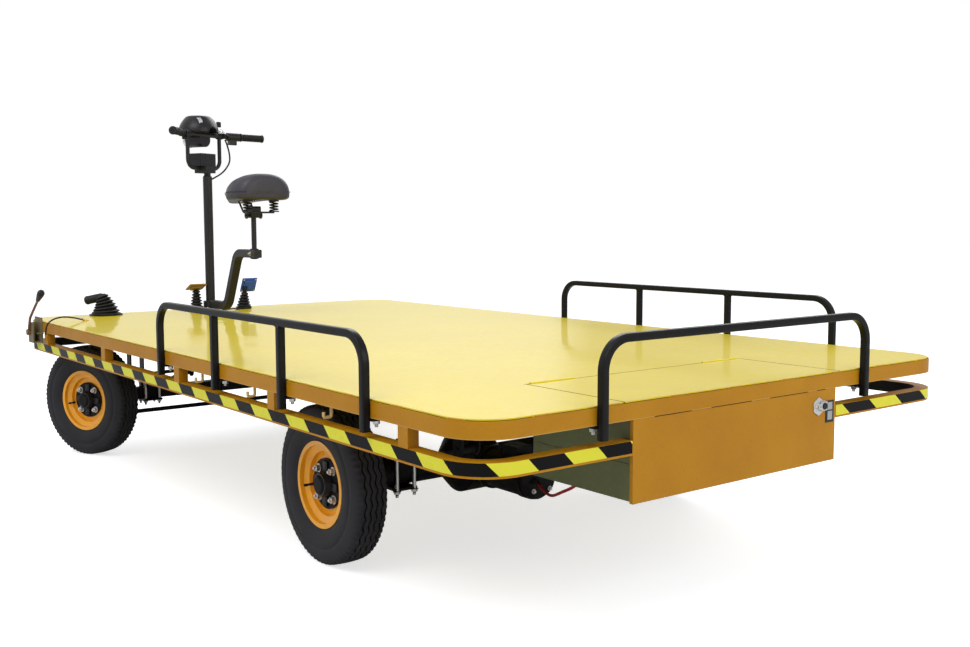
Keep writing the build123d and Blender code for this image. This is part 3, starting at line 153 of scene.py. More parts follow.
def bump(nt, shader, height, strength, distance):
    inputs = {"Strength": strength, "Distance": distance, "Height": height}
    normal = node(nt, "ShaderNodeBump", inputs).outputs["Normal"]
    feed(shader, {"Normal": normal})
    return normal


def paint(name, base, dark, rough=(0.3, 0.5), scale=6.0, peel=0.15, metallic=0.0, coat=0.0,
          grime=0.5, spec=0.25):
    """Sprayed paint: slow colour change, dirt speckle, orange peel and uneven gloss."""
    mat, nt, sh = new_material(name)
    v = coords(nt)
    slow = noise(nt, v, scale, 5.0)
    fine = noise(nt, v, scale * 22, 3.0, 0.7)
    dirt = maths(nt, "MULTIPLY", ramp(nt, fine, [(0.55, 0.0), (0.78, 1.0)]), grime)
    body = mix(nt, ramp(nt, slow, [(0.3, 0.0), (0.75, 1.0)]), base, [c * 0.86 for c in base])
    feed(sh, {
        "Base Color": mix(nt, dirt, body, dark),
        "Roughness": ramp(nt, slow, [(0.25, rough[0]), (0.8, rough[1])]),
        "Metallic": metallic,
        "Specular IOR Level": spec,
        "Coat Weight": coat,
        "Coat Roughness": 0.12,
    })
    bump(nt, sh, noise(nt, v, 260.0, 2.0), peel, 0.0006)
    return mat


def rubber(name, base, rough=0.62, grain=420.0, dust=(0.16, 0.15, 0.14), spec=0.25):
    """Rubber, vinyl or plastic with a fine grain and dust in slow patches."""
    mat, nt, sh = new_material(name)
    v = coords(nt)
    slow = noise(nt, v, 9.0, 5.0)
    feed(sh, {
        "Base Color": mix(nt, ramp(nt, slow, [(0.35, 0.0), (0.8, 0.55)]), base, dust),
        "Roughness": ramp(nt, slow, [(0.2, rough - 0.1), (0.8, rough + 0.15)]),
        "Specular IOR Level": spec,
    })
    bump(nt, sh, noise(nt, v, grain, 3.0), 0.25, 0.0006)
    return mat


def metal(name, base, rough=(0.28, 0.45), stain=(0.25, 0.2, 0.15)):
    """Bare or plated metal with small stains."""
    mat, nt, sh = new_material(name)
    v = coords(nt)
    slow = noise(nt, v, 14.0, 5.0)
    fine = noise(nt, v, 240.0, 4.0, 0.7)
    feed(sh, {
        "Base Color": mix(nt, ramp(nt, fine, [(0.55, 0.0), (0.8, 0.6)]), base, stain),
        "Roughness": ramp(nt, slow, [(0.25, rough[0]), (0.8, rough[1])]),
        "Metallic": 0.9,
    })
    bump(nt, sh, fine, 0.1, 0.0004)
    return mat


# Mesh helpers
def at(x, y, z):
    return Matrix.Translation((x, y, z))


def turned(degrees, axis):
    return Matrix.Rotation(math.radians(degrees), 4, axis)


def circle(radius, count, start=0):
    """Points round a circle, from a start in degrees."""
    turns = [math.radians(start + 360 * k / count) for k in range(count)]
    return [(radius * math.cos(a), radius * math.sin(a)) for a in turns]


def along(points, i):
    """Which way a line of points runs at one of them."""
    return Vector(points[min(i + 1, len(points) - 1)]) - Vector(points[max(i - 1, 0)])


def ring_faces(rings, count, loop=False):
    """Faces that join rings of vertices, with a face at each end or else in a loop."""
    faces = []
    for i in range(rings if loop else rings - 1):
        a, b = i * count, (i + 1) % rings * count
        for k in range(count):
            j = (k + 1) % count
            faces.append((a + k, a + j, b + j, b + k))
    if not loop:
        faces.append(tuple(range(count))[::-1])
        faces.append(tuple(range((rings - 1) * count, rings * count)))
    return faces


def add_mesh(name, verts, faces, mat, smooth=True):
    mesh = bpy.data.meshes.new(name)
    mesh.from_pydata([tuple(Vector(v) + SHIFT) for v in verts], [], faces)
    mesh.validate()
    obj = bpy.data.objects.new(name, mesh)
    bpy.context.scene.collection.objects.link(obj)
    mesh.materials.append(mat)
    for p in mesh.polygons:
        p.use_smooth = smooth
    bm = bmesh.new()
    bm.from_mesh(mesh)
    bmesh.ops.recalc_face_normals(bm, faces=bm.faces)
    bm.to_mesh(mesh)
    bm.free()
    return obj


class Parts:
    """Vertices and faces gathered from several forms into one mesh."""

    def __init__(self):
        self.verts = []
        self.faces = []

    def add(self, verts, faces):
        n = len(self.verts)
        self.verts += verts
        self.faces += [tuple(i + n for i in f) for f in faces]

    def loft(self, rings):
        """A skin over rings of points, closed at both ends."""
        self.add([v for ring in rings for v in ring], ring_faces(len(rings), len(rings[0])))

    def lathe(self, rows, spot, steps=24):
        """Rows of (radius, height) turned about the spot's Z axis."""
        self.loft([[spot @ Vector((x, y, h)) for x, y in circle(r, steps)] for r, h in rows])

    def bolt(self, spot, across=0.013, height=0.008, stud=0.004):
        """A hexagon nut with chamfered corners on a washer, with a stud's end."""
        r = across / 2 / math.cos(math.pi / 6)
        washer = [(r * 1.15, 0), (r * 1.3, 0.0002), (r * 1.3, 0.0016), (r * 1.2, 0.0018)]
        self.lathe(washer, spot, 20)
        nut = [(r * 0.93, 0.0017), (r, 0.0024), (r, height - 0.001), (r * 0.86, height)]
        self.lathe(nut, spot, 6)
        end = height + stud
        self.lathe([(r * 0.5, height - 0.001), (r * 0.5, end - 0.001), (r * 0.4, end)], spot, 12)

    def slab(self, spot, size, bevel):
        """A rectangular block with bevelled edges."""
        hx, hy, hz = (v / 2 for v in size)
        b = bevel
        rings = []
        for z, inset in ((-hz, b), (-hz + b, 0), (hz - b, 0), (hz, b)):
            x, y = hx - inset, hy - inset
            ring = [(x, y - b), (x - b, y), (-x + b, y), (-x, y - b),
                    (-x, -y + b), (-x + b, -y), (x - b, -y), (x, -y + b)]
            rings.append([spot @ Vector((p, q, z)) for p, q in ring])
        self.loft(rings)

    def strand(self, points, radius, steps=8):
        """A round wire through points."""
        rings = []
        for i, p in enumerate(points):
            turn = along(points, i).to_track_quat("Z", "Y")
            rings.append([Vector(p) + turn @ Vector((x, y, 0)) for x, y in circle(radius, steps)])
        self.loft(rings)

    def bar(self, points, fixed, size, corner=0.0028):
        """A square tube along points in a plane whose normal is fixed."""
        h = size / 2 - corner
        ring = []
        for cx, cy, start in ((1, 1, 0), (-1, 1, 90), (-1, -1, 180), (1, -1, 270)):
            for k in range(4):
                a = math.radians(start + 30 * k)
                ring.append((cx * h + corner * math.cos(a), cy * h + corner * math.sin(a)))
        rings = []
        for i, p in enumerate(points):
            side = along(points, i).normalized().cross(fixed)
            rings.append([p + side * u + fixed * w for u, w in ring])
        self.loft(rings)

    def make(self, name, slot, body="chassis", angle=35, mat=None):
        """The mesh as a piece in its slot's material or another, sharp above an angle."""
        obj = add_mesh(name, self.verts, self.faces, mat or MATS[slot])
        obj.data.set_sharp_from_angle(angle=math.radians(angle))
        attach(obj, body)
        return obj


def aim(place, direction):
    """Matrix whose Z axis points in a direction from a place."""
    z = Vector(direction).normalized()
    x = UP.cross(z)
    if x.length < 1e-4:
        x = Vector((1, 0, 0))
    x.normalize()
    turn = Matrix((x, z.cross(x), z)).transposed().to_4x4()
    return Matrix.Translation(Vector(place)) @ turn


def wheel_place(front, side):
    """Function from a wheel's own frame (outer face to +Y) to the cart's."""
    def put(x, y, z):
        p = Vector((x, y * side, z))
        if not front:
            return p + Vector((REAR_X, side * REAR_Y, WHEEL_Z))
        p = p + Vector((0, side * KINGPIN_OFFSET, 0))
        p = Matrix.Rotation(STEER, 3, "Z") @ p
        return p + Vector((KINGPIN_X, side * KINGPIN_Y, WHEEL_Z))
    return put


# From the steering column's own frame to the cart's
BAR_TURN = Matrix.Translation(COLUMN) @ Matrix.Rotation(STEER, 4, "Z")


def on_column(v):
    return BAR_TURN @ Vector(v)


# Paints with a pattern of their own
def deck_paint():
    """Deep yellow gloss on sheet steel that isn't quite flat, with fine dust."""
    mat, nt, sh = new_material("deck_paint")
    v = coords(nt)
    slow = noise(nt, v, 1.6, 4.0)
    fine = noise(nt, v, 60.0, 5.0, 0.7)
    patches = ramp(nt, slow, [(0.3, 0.0), (0.7, 1.0)])
    body = mix(nt, patches, (0.665, 0.522, 0.008), (0.62, 0.474, 0.007))
    dust = maths(nt, "MULTIPLY", ramp(nt, fine, [(0.52, 0.0), (0.8, 1.0)]), 0.22)
    ripple = maths(nt, "MULTIPLY", noise(nt, v, 9.0, 1.0), 0.22)
    waves = maths(nt, "ADD", noise(nt, v, 2.6, 1.0), ripple)
    feed(sh, {
        "Base Color": mix(nt, dust, body, (0.58, 0.47, 0.08)),
        "Roughness": ramp(nt, fine, [(0.3, 0.4), (0.8, 0.55)]),
        "Specular IOR Level": 0.1,
        "Coat Weight": 0.44,
        "Coat Roughness": ramp(nt, slow, [(0.3, 0.05), (0.75, 0.13)]),
        "Coat Normal": bump(nt, sh, waves, 0.6, 0.006),
    })
    return mat


def frame_paint(name, hooks):
    """Ochre-gold paint; with hooks, what hangs below the edge channel is cream."""
    mat, nt, sh = new_material(name)
    v = coords(nt)
    slow = noise(nt, v, 5.0, 5.0)
    fine = noise(nt, v, 110.0, 3.0, 0.7)
    patches = ramp(nt, slow, [(0.3, 0.0), (0.75, 1.0)])
    body = mix(nt, patches, (0.405, 0.185, 0.007), (0.35, 0.148, 0.006))
    dirt = maths(nt, "MULTIPLY", ramp(nt, fine, [(0.55, 0.0), (0.8, 1.0)]), 0.3)
    colour = mix(nt, dirt, body, (0.15, 0.09, 0.02))
    if hooks:
        edge = [(RIM_BOTTOM - 0.0012, 1.0), (RIM_BOTTOM - 0.0006, 0.0)]
        cream = mix(nt, noise(nt, v, 90.0), (0.62, 0.45, 0.20), (0.48, 0.33, 0.12))
        colour = mix(nt, ramp(nt, height_of(nt, v), edge), colour, cream)
    feed(sh, {
        "Base Color": colour,
        "Roughness": ramp(nt, slow, [(0.25, 0.3), (0.8, 0.48)]),
        "Specular IOR Level": 0.06,
        "Coat Weight": 0.14,
        "Coat Roughness": 0.16,
    })
    bump(nt, sh, noise(nt, v, 240.0, 2.0), 0.12, 0.0006)
    return mat


KNOB_FOOT = 0.668


def lever_paint():
    """Copper-brown rod, black from the knob's lower end upwards."""
    mat, nt, sh = new_material("lever_paint")
    v = coords(nt)
    worn = noise(nt, v, 60.0, 4.0)
    edge = [(KNOB_FOOT - 0.0005, 0.0), (KNOB_FOOT + 0.0005, 1.0)]
    patches = ramp(nt, worn, [(0.4, 0.0), (0.7, 1.0)])
    rod = mix(nt, patches, (0.19, 0.085, 0.035), (0.09, 0.045, 0.022))
    feed(sh, {
        "Base Color": mix(nt, ramp(nt, height_of(nt, v), edge), rod, (0.007, 0.007, 0.008)),
        "Roughness": ramp(nt, worn, [(0.3, 0.28), (0.8, 0.46)]),
        "Specular IOR Level": 0.3,
    })
    bump(nt, sh, worn, 0.1, 0.0004)
    return mat


# Materials of the record's slots, then of single pieces
MATS = {
    "deck_yellow": deck_paint(),
    "frame_gold": frame_paint("frame_paint", False),
    "box_olive": paint("box_paint", (0.108, 0.122, 0.044), (0.17, 0.135, 0.055), (0.35, 0.55), 5.0, 0.2,
                       spec=0.2),
    "chassis_black": paint("chassis_paint", (0.007, 0.007, 0.007), (0.03, 0.026, 0.022), (0.35, 0.6),
                           8.0, 0.25, spec=0.12),
    "guard_black": paint("guard_paint", (0.006, 0.0058, 0.0058), (0.022, 0.020, 0.018), (0.26, 0.40),
                         8.0, 0.2, spec=0.14),
    "rim_orange": paint("wheel_paint", (0.93, 0.405, 0.016), (0.30, 0.14, 0.04), (0.24, 0.38), 9.0,
                        coat=0.4, grime=0.3),
    "column_grey": paint("column_paint", (0.018, 0.0172, 0.0185), (0.05, 0.047, 0.045), scale=8.0,
                         peel=0.2),
    "steel": metal("plain_steel", (0.42, 0.42, 0.41)),
    "zinc": metal("zinc_plate", (0.60, 0.59, 0.56), (0.25, 0.4)),
    "tyre_rubber": rubber("tyre_rubber", (0.0155, 0.015, 0.0168), 0.60, 300.0, (0.042, 0.040, 0.042), 0.2),
    "black_rubber": rubber("black_rubber", (0.008, 0.0078, 0.0085), 0.46, 420.0, (0.020, 0.019, 0.019)),
    "black_plastic": rubber("black_plastic", (0.007, 0.007, 0.009), 0.33, 700.0, (0.014, 0.014, 0.016), 0.3),
    "seat_vinyl": rubber("seat_vinyl", (0.040, 0.037, 0.047), 0.44, 500.0, (0.050, 0.047, 0.058), 0.3),
    "pedal_yellow": paint("pedal_paint", (0.34, 0.20, 0.03), (0.12, 0.09, 0.04), (0.4, 0.6), 20.0, 0.2),
    "battery_case": rubber("battery_case", (0.03, 0.03, 0.033), 0.5, 300.0),
    "red_cable": rubber("red_cable", (0.42, 0.015, 0.012), 0.4, 300.0, (0.3, 0.02, 0.02)),
    "lever_paint": lever_paint(),
    "bracket_brown": paint("bracket_paint", (0.19, 0.150, 0.075), (0.07, 0.05, 0.03), (0.4, 0.6), 22.0,
                           0.3, 0.2, spec=0.2),
    "rim_and_hooks": frame_paint("rim_paint", True),
    "chrome": metal("bright_plate", (0.82, 0.82, 0.82), (0.12, 0.22), (0.5, 0.5, 0.48)),
    "brass": metal("brass", (0.62, 0.42, 0.12), (0.25, 0.4), (0.3, 0.2, 0.08)),
}
CHROME = MATS["chrome"]
# Near-black painted shade for gaps, seams and groove floors
PAINTED_SHADE = rubber("painted_gap_shade", (0.004, 0.0035, 0.003), 0.8, 300.0, (0.007, 0.006, 0.005), 0.03)
PAD_BLUE = paint("pad_blue", (0.045, 0.11, 0.42), (0.16, 0.20, 0.34), (0.25, 0.4), 30.0, 0.1, grime=0.2)
LENS = rubber("lamp_lens", (0.55, 0.57, 0.58), 0.12, 60.0, (0.4, 0.42, 0.42))
feed(LENS.node_tree.nodes["Principled BSDF"], {"Coat Weight": 1.0})

# Solids whose colour in the photo isn't their slot's
REPAINTED = {
    "deck_rim": "rim_and_hooks",
    "lever_bracket": "bracket_brown",
    "brake_lever": "lever_paint",
    "seat_post": "column_grey",
    "saddle_springs": "column_grey",
    "hatch_hinge_left": "deck_yellow",
    "hatch_hinge_right": "deck_yellow",
}


def paint_solids():
    slots = {s["node"]: s["material_slot"] for s in frame["record"]["subparts"]}
    for name, obj in NODES.items():
        obj.data.materials.clear()
        obj.data.materials.append(MATS[REPAINTED.get(name, slots[name])])


# Floor and light
FLOOR_GLOW = 0.66
WORLD_LIGHT = 0.7
HALL_EDGE = 41.5
HALL_STOPS = [(0.495, 1.0), (0.535, 0.33), (0.62, 0.38), (0.75, 0.58), (0.98, 0.62)]


def seen_directly(nt):
    """One for rays from the camera and through glass."""
    path = node(nt, "ShaderNodeLightPath")
    return maths(nt, "MAXIMUM", path.outputs["Is Camera Ray"], path.outputs["Is Transmission Ray"])


def choice(nt, fac, a, b):
    """Shader a or, where the factor is one, shader b."""
    return node(nt, "ShaderNodeMixShader", {0: fac, 1: a, 2: b}).outputs[0]


def hall_brightness(wt):
    """What gloss mirrors: a bright hall with a dimmer side behind the cart's right."""
    ray = node(wt, "ShaderNodeTexCoord").outputs["Generated"]
    split = node(wt, "ShaderNodeSeparateXYZ", {0: ray})
    edge = math.radians(HALL_EDGE)
    across = maths(wt, "ADD", maths(wt, "MULTIPLY", split.outputs["X"], -math.sin(edge)),
                   maths(wt, "MULTIPLY", split.outputs["Y"], -math.cos(edge)))
    streaks = maths(wt, "MULTIPLY", maths(wt, "SUBTRACT", noise(wt, ray, 7.0, 3.0), 0.5), 0.07)
    place = maths(wt, "ADD", maths(wt, "ADD", across, streaks), 0.5)
    return ramp(wt, place, HALL_STOPS)


def make_floor():
    mat, nt, sh = new_material("floor")
    cloud = ramp(nt, noise(nt, coords(nt), 0.8, 3.0), [(0.3, 0.0), (0.7, 1.0)])
    colour = mix(nt, cloud, (0.70, 0.70, 0.715), (0.68, 0.68, 0.70))
    feed(sh, {"Base Color": colour, "Roughness": 0.85, "Specular IOR Level": 0.1})
    glow = node(nt, "ShaderNodeEmission", {"Color": (1, 1, 1), "Strength": FLOOR_GLOW})
    both = node(nt, "ShaderNodeAddShader", {0: sh.outputs[0], 1: glow.outputs[0]})
    surface = choice(nt, seen_directly(nt), sh.outputs[0], both.outputs[0])
    feed(nt.nodes["Material Output"], {"Surface": surface})
    floor = add_mesh("floor", [(-40, -40, 0), (40, -40, 0), (40, 40, 0), (-40, 40, 0)], [(0, 1, 2, 3)], mat)


def make_world():
    """Soft light for matt surfaces, the hall for gloss, and white behind the cart."""
    world = bpy.data.worlds.new("world")
    bpy.context.scene.world = world
    world.use_nodes = True
    wt = world.node_tree
    soft = wt.nodes["Background"]
    feed(soft, {"Color": (0.92, 0.95, 1.0), "Strength": WORLD_LIGHT})
    white = node(wt, "ShaderNodeBackground", {"Color": (1, 1, 1), "Strength": 1.0})
    hall = node(wt, "ShaderNodeBackground", {"Color": hall_brightness(wt), "Strength": 1.0})
    glossy = node(wt, "ShaderNodeLightPath").outputs["Is Glossy Ray"]
    mirrored = choice(wt, glossy, soft.outputs[0], hall.outputs[0])
    surface = choice(wt, seen_directly(wt), mirrored, white.outputs[0])
    feed(wt.nodes["World Output"], {"Surface": surface})


def make_light(name, place, target, size, power):
    light = bpy.data.lights.new(name, "AREA")
    light.shape = "RECTANGLE"
    light.size, light.size_y = size
    light.energy = power
    obj = bpy.data.objects.new(name, light)
    bpy.context.scene.collection.objects.link(obj)
    obj.location = place
    away = Vector(target) - Vector(place)
    obj.rotation_euler = away.to_track_quat("-Z", "Y").to_euler()


def make_stage():
    make_floor()
    make_world()
    make_light("key", (-1.5, 4.0, 5.5), (0, 0, 0.4), (4, 4), 228)
    make_light("fill", (-5.5, -1.0, 2.6), (0, 0, 0.4), (4, 3), 110)
    make_light("back", (3.0, -4.2, 4.2), (-0.4, -0.4, 0.6), (5, 3), 150)
    bpy.context.scene.view_settings.view_transform = "Standard"


# Tyres: the bead and side wall as (radius, sideways), and zigzag grooves as (sideways, outwards)
TYRE_STEPS, TYRE_TEETH = 288, 36
TYRE_R = 0.233
TYRE_SIDE = [(0.1172, 0.0398), (0.1285, 0.0402), (0.136, 0.047), (0.150, 0.0522), (0.166, 0.0538),
             (0.182, 0.0540), (0.1835, 0.0528), (0.186, 0.0528), (0.1875, 0.0537), (0.200, 0.0525),
             (0.212, 0.0505), (0.2205, 0.0478), (0.2265, 0.0452), (0.2300, 0.0420)]
TREAD_EDGE = 0.0385
GROOVES = (-0.0265, -0.0088, 0.0088, 0.0265)
GROOVE_SWING = 0.0034
GROOVE_CUT = ((0.0031, 0), (0.0025, -0.0008), (0.0020, -0.0085),
              (-0.0020, -0.0085), (-0.0025, -0.0008), (-0.0031, 0))
GROOVE_FLOOR = ((-0.0024, -0.0048), (-0.0021, -0.0036), (0.0021, -0.0036), (0.0024, -0.0048))


def zigzag(k):
    """How far the grooves have swung aside at a step round the tyre."""
    phase = (k * TYRE_TEETH / TYRE_STEPS) % 1.0
    return GROOVE_SWING * (4 * abs(phase - 0.5) - 1)


def crown(y):
    return TYRE_R - 0.0018 * (y / 0.038) ** 2


def tyre_row(k):
    """Points across the tyre at a step, as (radius, sideways), with a cut shoulder on some."""
    row = TYRE_SIDE + [(crown(TREAD_EDGE), TREAD_EDGE)]
    for g in reversed(GROOVES):
        for dy, dr in GROOVE_CUT:
            y = g + zigzag(k) + dy
            row.append((crown(y) + dr, y))
    row += [(r, -y) for r, y in [(crown(TREAD_EDGE), TREAD_EDGE)] + TYRE_SIDE[::-1]]
    if k % 4 in (0, 1):
        row = [(r - 0.0042, y) if 0.038 < abs(y) < 0.0460 and r > 0.224 else (r, y) for r, y in row]
    return row


def make_tyre(name, put, body):
    turns = circle(1.0, TYRE_STEPS)
    verts = [put(r * c, y, r * s) for k, (c, s) in enumerate(turns) for r, y in tyre_row(k)]
    # Near-black strips on the grooves' floors, painted shade
    groove_shade = Parts()
    for g in GROOVES:
        strip = []
        for k, (c, s) in enumerate(turns):
            for dy, dr in GROOVE_FLOOR:
                strip.append(put((TYRE_R + dr) * c, g + zigzag(k) + dy, (TYRE_R + dr) * s))
        groove_shade.add(strip, ring_faces(TYRE_STEPS, 4, loop=True))
    groove_shade.make(name + "_groove_shade", "tyre_rubber", body, 60, PAINTED_SHADE)
    faces = ring_faces(TYRE_STEPS, len(tyre_row(0)), loop=True)
    tyre = add_mesh(name + "_tread", verts, faces, MATS["tyre_rubber"])
    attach(tyre, body)
    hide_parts(name)


# Wheels: nuts, a hub cap with four lobes, and a valve
HUB_FACE = 0.0183


def make_wheel_trim(put, body):
    out = put(0, 1, 0) - put(0, 0, 0)
    nuts = Parts()
    for x, z in circle(0.058, 4, 43):
        nuts.bolt(aim(put(x, HUB_FACE, z), out), 0.0175, 0.013, 0.006)
    nuts.make("nuts_" + body, "zinc", body)
    cap = Parts()
    spot = aim(put(0, HUB_FACE, 0), out)
    cap.lathe([(0.0375, 0.0), (0.0375, 0.010), (0.0355, 0.0125), (0.0350, 0.020), (0.0330, 0.0235),
               (0.0285, 0.0240), (0.0275, 0.0228), (0.006, 0.0228)], spot, 40)
    for k in range(4):
        cap.slab(spot @ turned(90 * k - 2, "Z") @ at(0.050, 0, 0.0035), (0.034, 0.024, 0.009), 0.0025)
    cap.make("cap_" + body, "black_plastic", body, 40)
    valve = Parts()
    x, z = circle(0.094, 1, -12)[0]
    valve.lathe([(0.0045, -0.004), (0.0045, 0.004), (0.0032, 0.006), (0.0032, 0.020), (0.0042, 0.0205),
                 (0.0042, 0.030), (0.003, 0.032)], aim(put(x, 0.010, z), out), 14)
    valve.make("valve_" + body, "black_rubber", body)


def make_wheels():
    places = {
        "front_left": wheel_place(True, 1),
        "front_right": wheel_place(True, -1),
        "rear_left": wheel_place(False, 1),
        "rear_right": wheel_place(False, -1),
    }
    for word, put in places.items():
        make_tyre("tyre_" + word, put, "wheel_" + word)
    for word, put in places.items():
        make_wheel_trim(put, "wheel_" + word)


# The deck's outline: corners' centres, from the front left one against the clock
CORNERS = [Vector((sx * (DECK_X - CORNER_R), sy * (DECK_Y - CORNER_R), 0))
           for sx, sy in ((1, 1), (-1, 1), (-1, -1), (1, -1))]
ARC = math.pi / 2 * CORNER_R
OUTLINE = 4 * (DECK_X - CORNER_R) + 4 * (DECK_Y - CORNER_R) + 4 * ARC


def outline_point(s, inset):
    """Point and outward normal this far along the outline, moved inwards by an inset."""
    s %= OUTLINE
    for k in range(4):
        start, end = CORNERS[k], CORNERS[(k + 1) % 4]
        side = end - start
        over = min(max(s - side.length, 0.0), ARC)
        turn = math.radians(90 + 90 * k + 90 * over / ARC)
        normal = Vector((math.cos(turn), math.sin(turn), 0))
        if s <= side.length:
            return start + side.normalized() * s + normal * (CORNER_R - inset), normal
        if s <= side.length + ARC:
            return end + normal * (CORNER_R - inset), normal
        s -= side.length + ARC
    return outline_point(0.0, inset)


# Hazard tape round the bumper rail, with a longer pitch in the first stretch right of the panel
TAPE_PITCH = 0.2035
TAPE_LEAN = 1.0
TAPE_START = -0.029
TAPE_FIRST, TAPE_SHRINK = 0.56, 0.78


def tape_material():
    """Black and yellow stripes along the strip's own length (UV in metres)."""
    mat, nt, sh = new_material("hazard_tape")
    uv = node(nt, "ShaderNodeUVMap", uv_map="UVMap").outputs["UV"]
    split = node(nt, "ShaderNodeSeparateXYZ", {0: uv})
    lean = maths(nt, "MULTIPLY", split.outputs["Y"], TAPE_LEAN)
    place = maths(nt, "SUBTRACT", maths(nt, "ADD", split.outputs["X"], lean), TAPE_START)
    turns = maths(nt, "FRACT", maths(nt, "DIVIDE", place, TAPE_PITCH))
    black = maths(nt, "LESS_THAN", turns, 0.5)
    v = coords(nt)
    wear = ramp(nt, noise(nt, v, 30.0, 6.0, 0.7), [(0.60, 0.0), (0.72, 1.0)])
    yellow = mix(nt, maths(nt, "MULTIPLY", wear, 0.6), (0.61, 0.575, 0.040), (0.42, 0.37, 0.06))
    dark = mix(nt, maths(nt, "MULTIPLY", wear, 0.5), (0.0035, 0.0034, 0.0036), (0.016, 0.015, 0.014))
    feed(sh, {
        "Base Color": mix(nt, black, yellow, dark),
        "Roughness": ramp(nt, noise(nt, v, 12.0), [(0.3, 0.22), (0.8, 0.42)]),
        "Specular IOR Level": 0.08,
    })
    bump(nt, sh, noise(nt, v, 90.0, 3.0), 0.1, 0.0005)
    return mat


def make_tape():
    low, high = BUMPER_TOP - 0.0295, BUMPER_TOP - 0.0008
    step, margin = 0.01, 0.006
    # The panel's stretch of the rear face has none
    rear = 2 * (DECK_X - CORNER_R) + ARC + DECK_Y - CORNER_R
    first, last = rear - BOX_RIGHT + margin, rear - BOX_LEFT - margin + OUTLINE
    n = int((last - first) / step)
    verts, lengths = [], []
    for k in range(n + 1):
        s = first + (last - first) * k / n
        p, normal = outline_point(s, 0.0)
        outer, inner = p + normal * 0.0006, p - normal * 0.0004
        verts += [outer + UP * low, outer + UP * high, inner + UP * high, inner + UP * low]
        before = max(first + TAPE_FIRST - s, 0.0)
        lengths.append(s + before * (1 - TAPE_SHRINK))
    obj = add_mesh("tape_main", verts, ring_faces(n + 1, 4), tape_material(), smooth=False)
    layer = obj.data.uv_layers.new(name="UVMap")
    for loop in obj.data.loops:
        v = loop.vertex_index
        layer.data[loop.index].uv = (lengths[v // 4], obj.data.vertices[v].co.z - low)
    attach(obj, "chassis")


# Rubber bellows on the deck, fold by fold
FOLD = ((0.04, 0.0), (0.16, 0.35), (0.27, 0.85), (0.36, 1.0), (0.50, 1.0), (0.60, 0.9), (0.78, 0.45),
        (0.94, 0.08))


def add_bellows(parts, x, y, radius, count, pitch, taper, lean, turn):
    """Adds a boot's folds, each leaning over the one below, and returns its top's matrix."""
    spot = at(x, y, DECK_TOP)
    rings = [(spot, radius * 0.985, 0.0), (spot, radius, 0.0012), (spot, radius, pitch * 0.72),
             (spot, radius * 0.985, pitch * 0.82)]
    spot = spot @ at(0, 0, pitch * 0.8) @ turned(turn, "Z")
    for index in range(count):
        size = radius - 0.003 - taper * index
        spot = spot @ turned(lean, "Y")
        rings += [(spot, size - 0.0085 * (1 - f), pitch * t) for t, f in FOLD]
        spot = spot @ at(0, 0, pitch)
    last = size - 0.010
    rings += [(spot, last, 0.002), (spot, last * 0.8, 0.005), (spot, last * 0.3, 0.0065)]
    parts.loft([[place @ Vector((p, q, h)) for p, q in circle(r, 48)] for place, r, h in rings])
    return spot


def make_gaiter():
    gaiter = Parts()
    x, y = DECK_X - 0.088, DECK_Y - 0.316
    top = add_bellows(gaiter, x, y, 0.062, 6, 0.013, 0.006, 4, 42)
    rows = [(0.017, 0.0), (0.0185, 0.006), (0.0185, 0.012)]
    for k in range(7):
        h = 0.016 + 0.007 * k
        rows += [(0.0172, h), (0.0188, h + 0.002), (0.0188, h + 0.0045), (0.0172, h + 0.0062)]
    rows += [(0.0195, 0.068), (0.0195, 0.074), (0.0165, 0.0795), (0.008, 0.081)]
    gaiter.lathe(rows, top @ at(0, 0, -0.006) @ turned(78, "Y"), 32)
    obj = gaiter.make("gaiter_and_grip", "black_rubber", angle=50)
    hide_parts("lever_gaiter")
    ring = Parts()
    ring.lathe([(0.070, 0), (0.070, 0.0022), (0.064, 0.0034), (0.0605, 0.0034)], at(x, y, DECK_TOP), 48)
    for dx, dy in circle(0.0655, 6, 10):
        ring.bolt(aim((x + dx, y + dy, DECK_TOP + 0.003), UP), 0.007, 0.003, 0.001)
    ring.make("gaiter_ring", "chassis_black")


PEDAL_X = DECK_X - 0.100


def make_brake_pedal():
    boot, pad = Parts(), Parts()
    x, y = PEDAL_X, 0.165
    top = add_bellows(boot, x, y, 0.033, 6, 0.0138, 0.0022, 0, 0)
    boot.lathe([(0.008, -0.004), (0.008, 0.022)], top, 16)
    obj = boot.make("brake_boot", "black_rubber", angle=50)
    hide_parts("brake_pedal")
    spot = at(x, y, DECK_TOP + 0.110) @ turned(25, "Y")
    pad.slab(spot, (0.060, 0.082, 0.0065), 0.0016)
    pad.slab(spot @ at(0, 0, -0.0075), (0.036, 0.050, 0.009), 0.0015)
    for k in range(5):
        pad.slab(spot @ at(-0.022 + 0.011 * k, 0, 0.0042), (0.0045, 0.072, 0.003), 0.0011)
    pad.make("brake_pad", "pedal_yellow", angle=25)


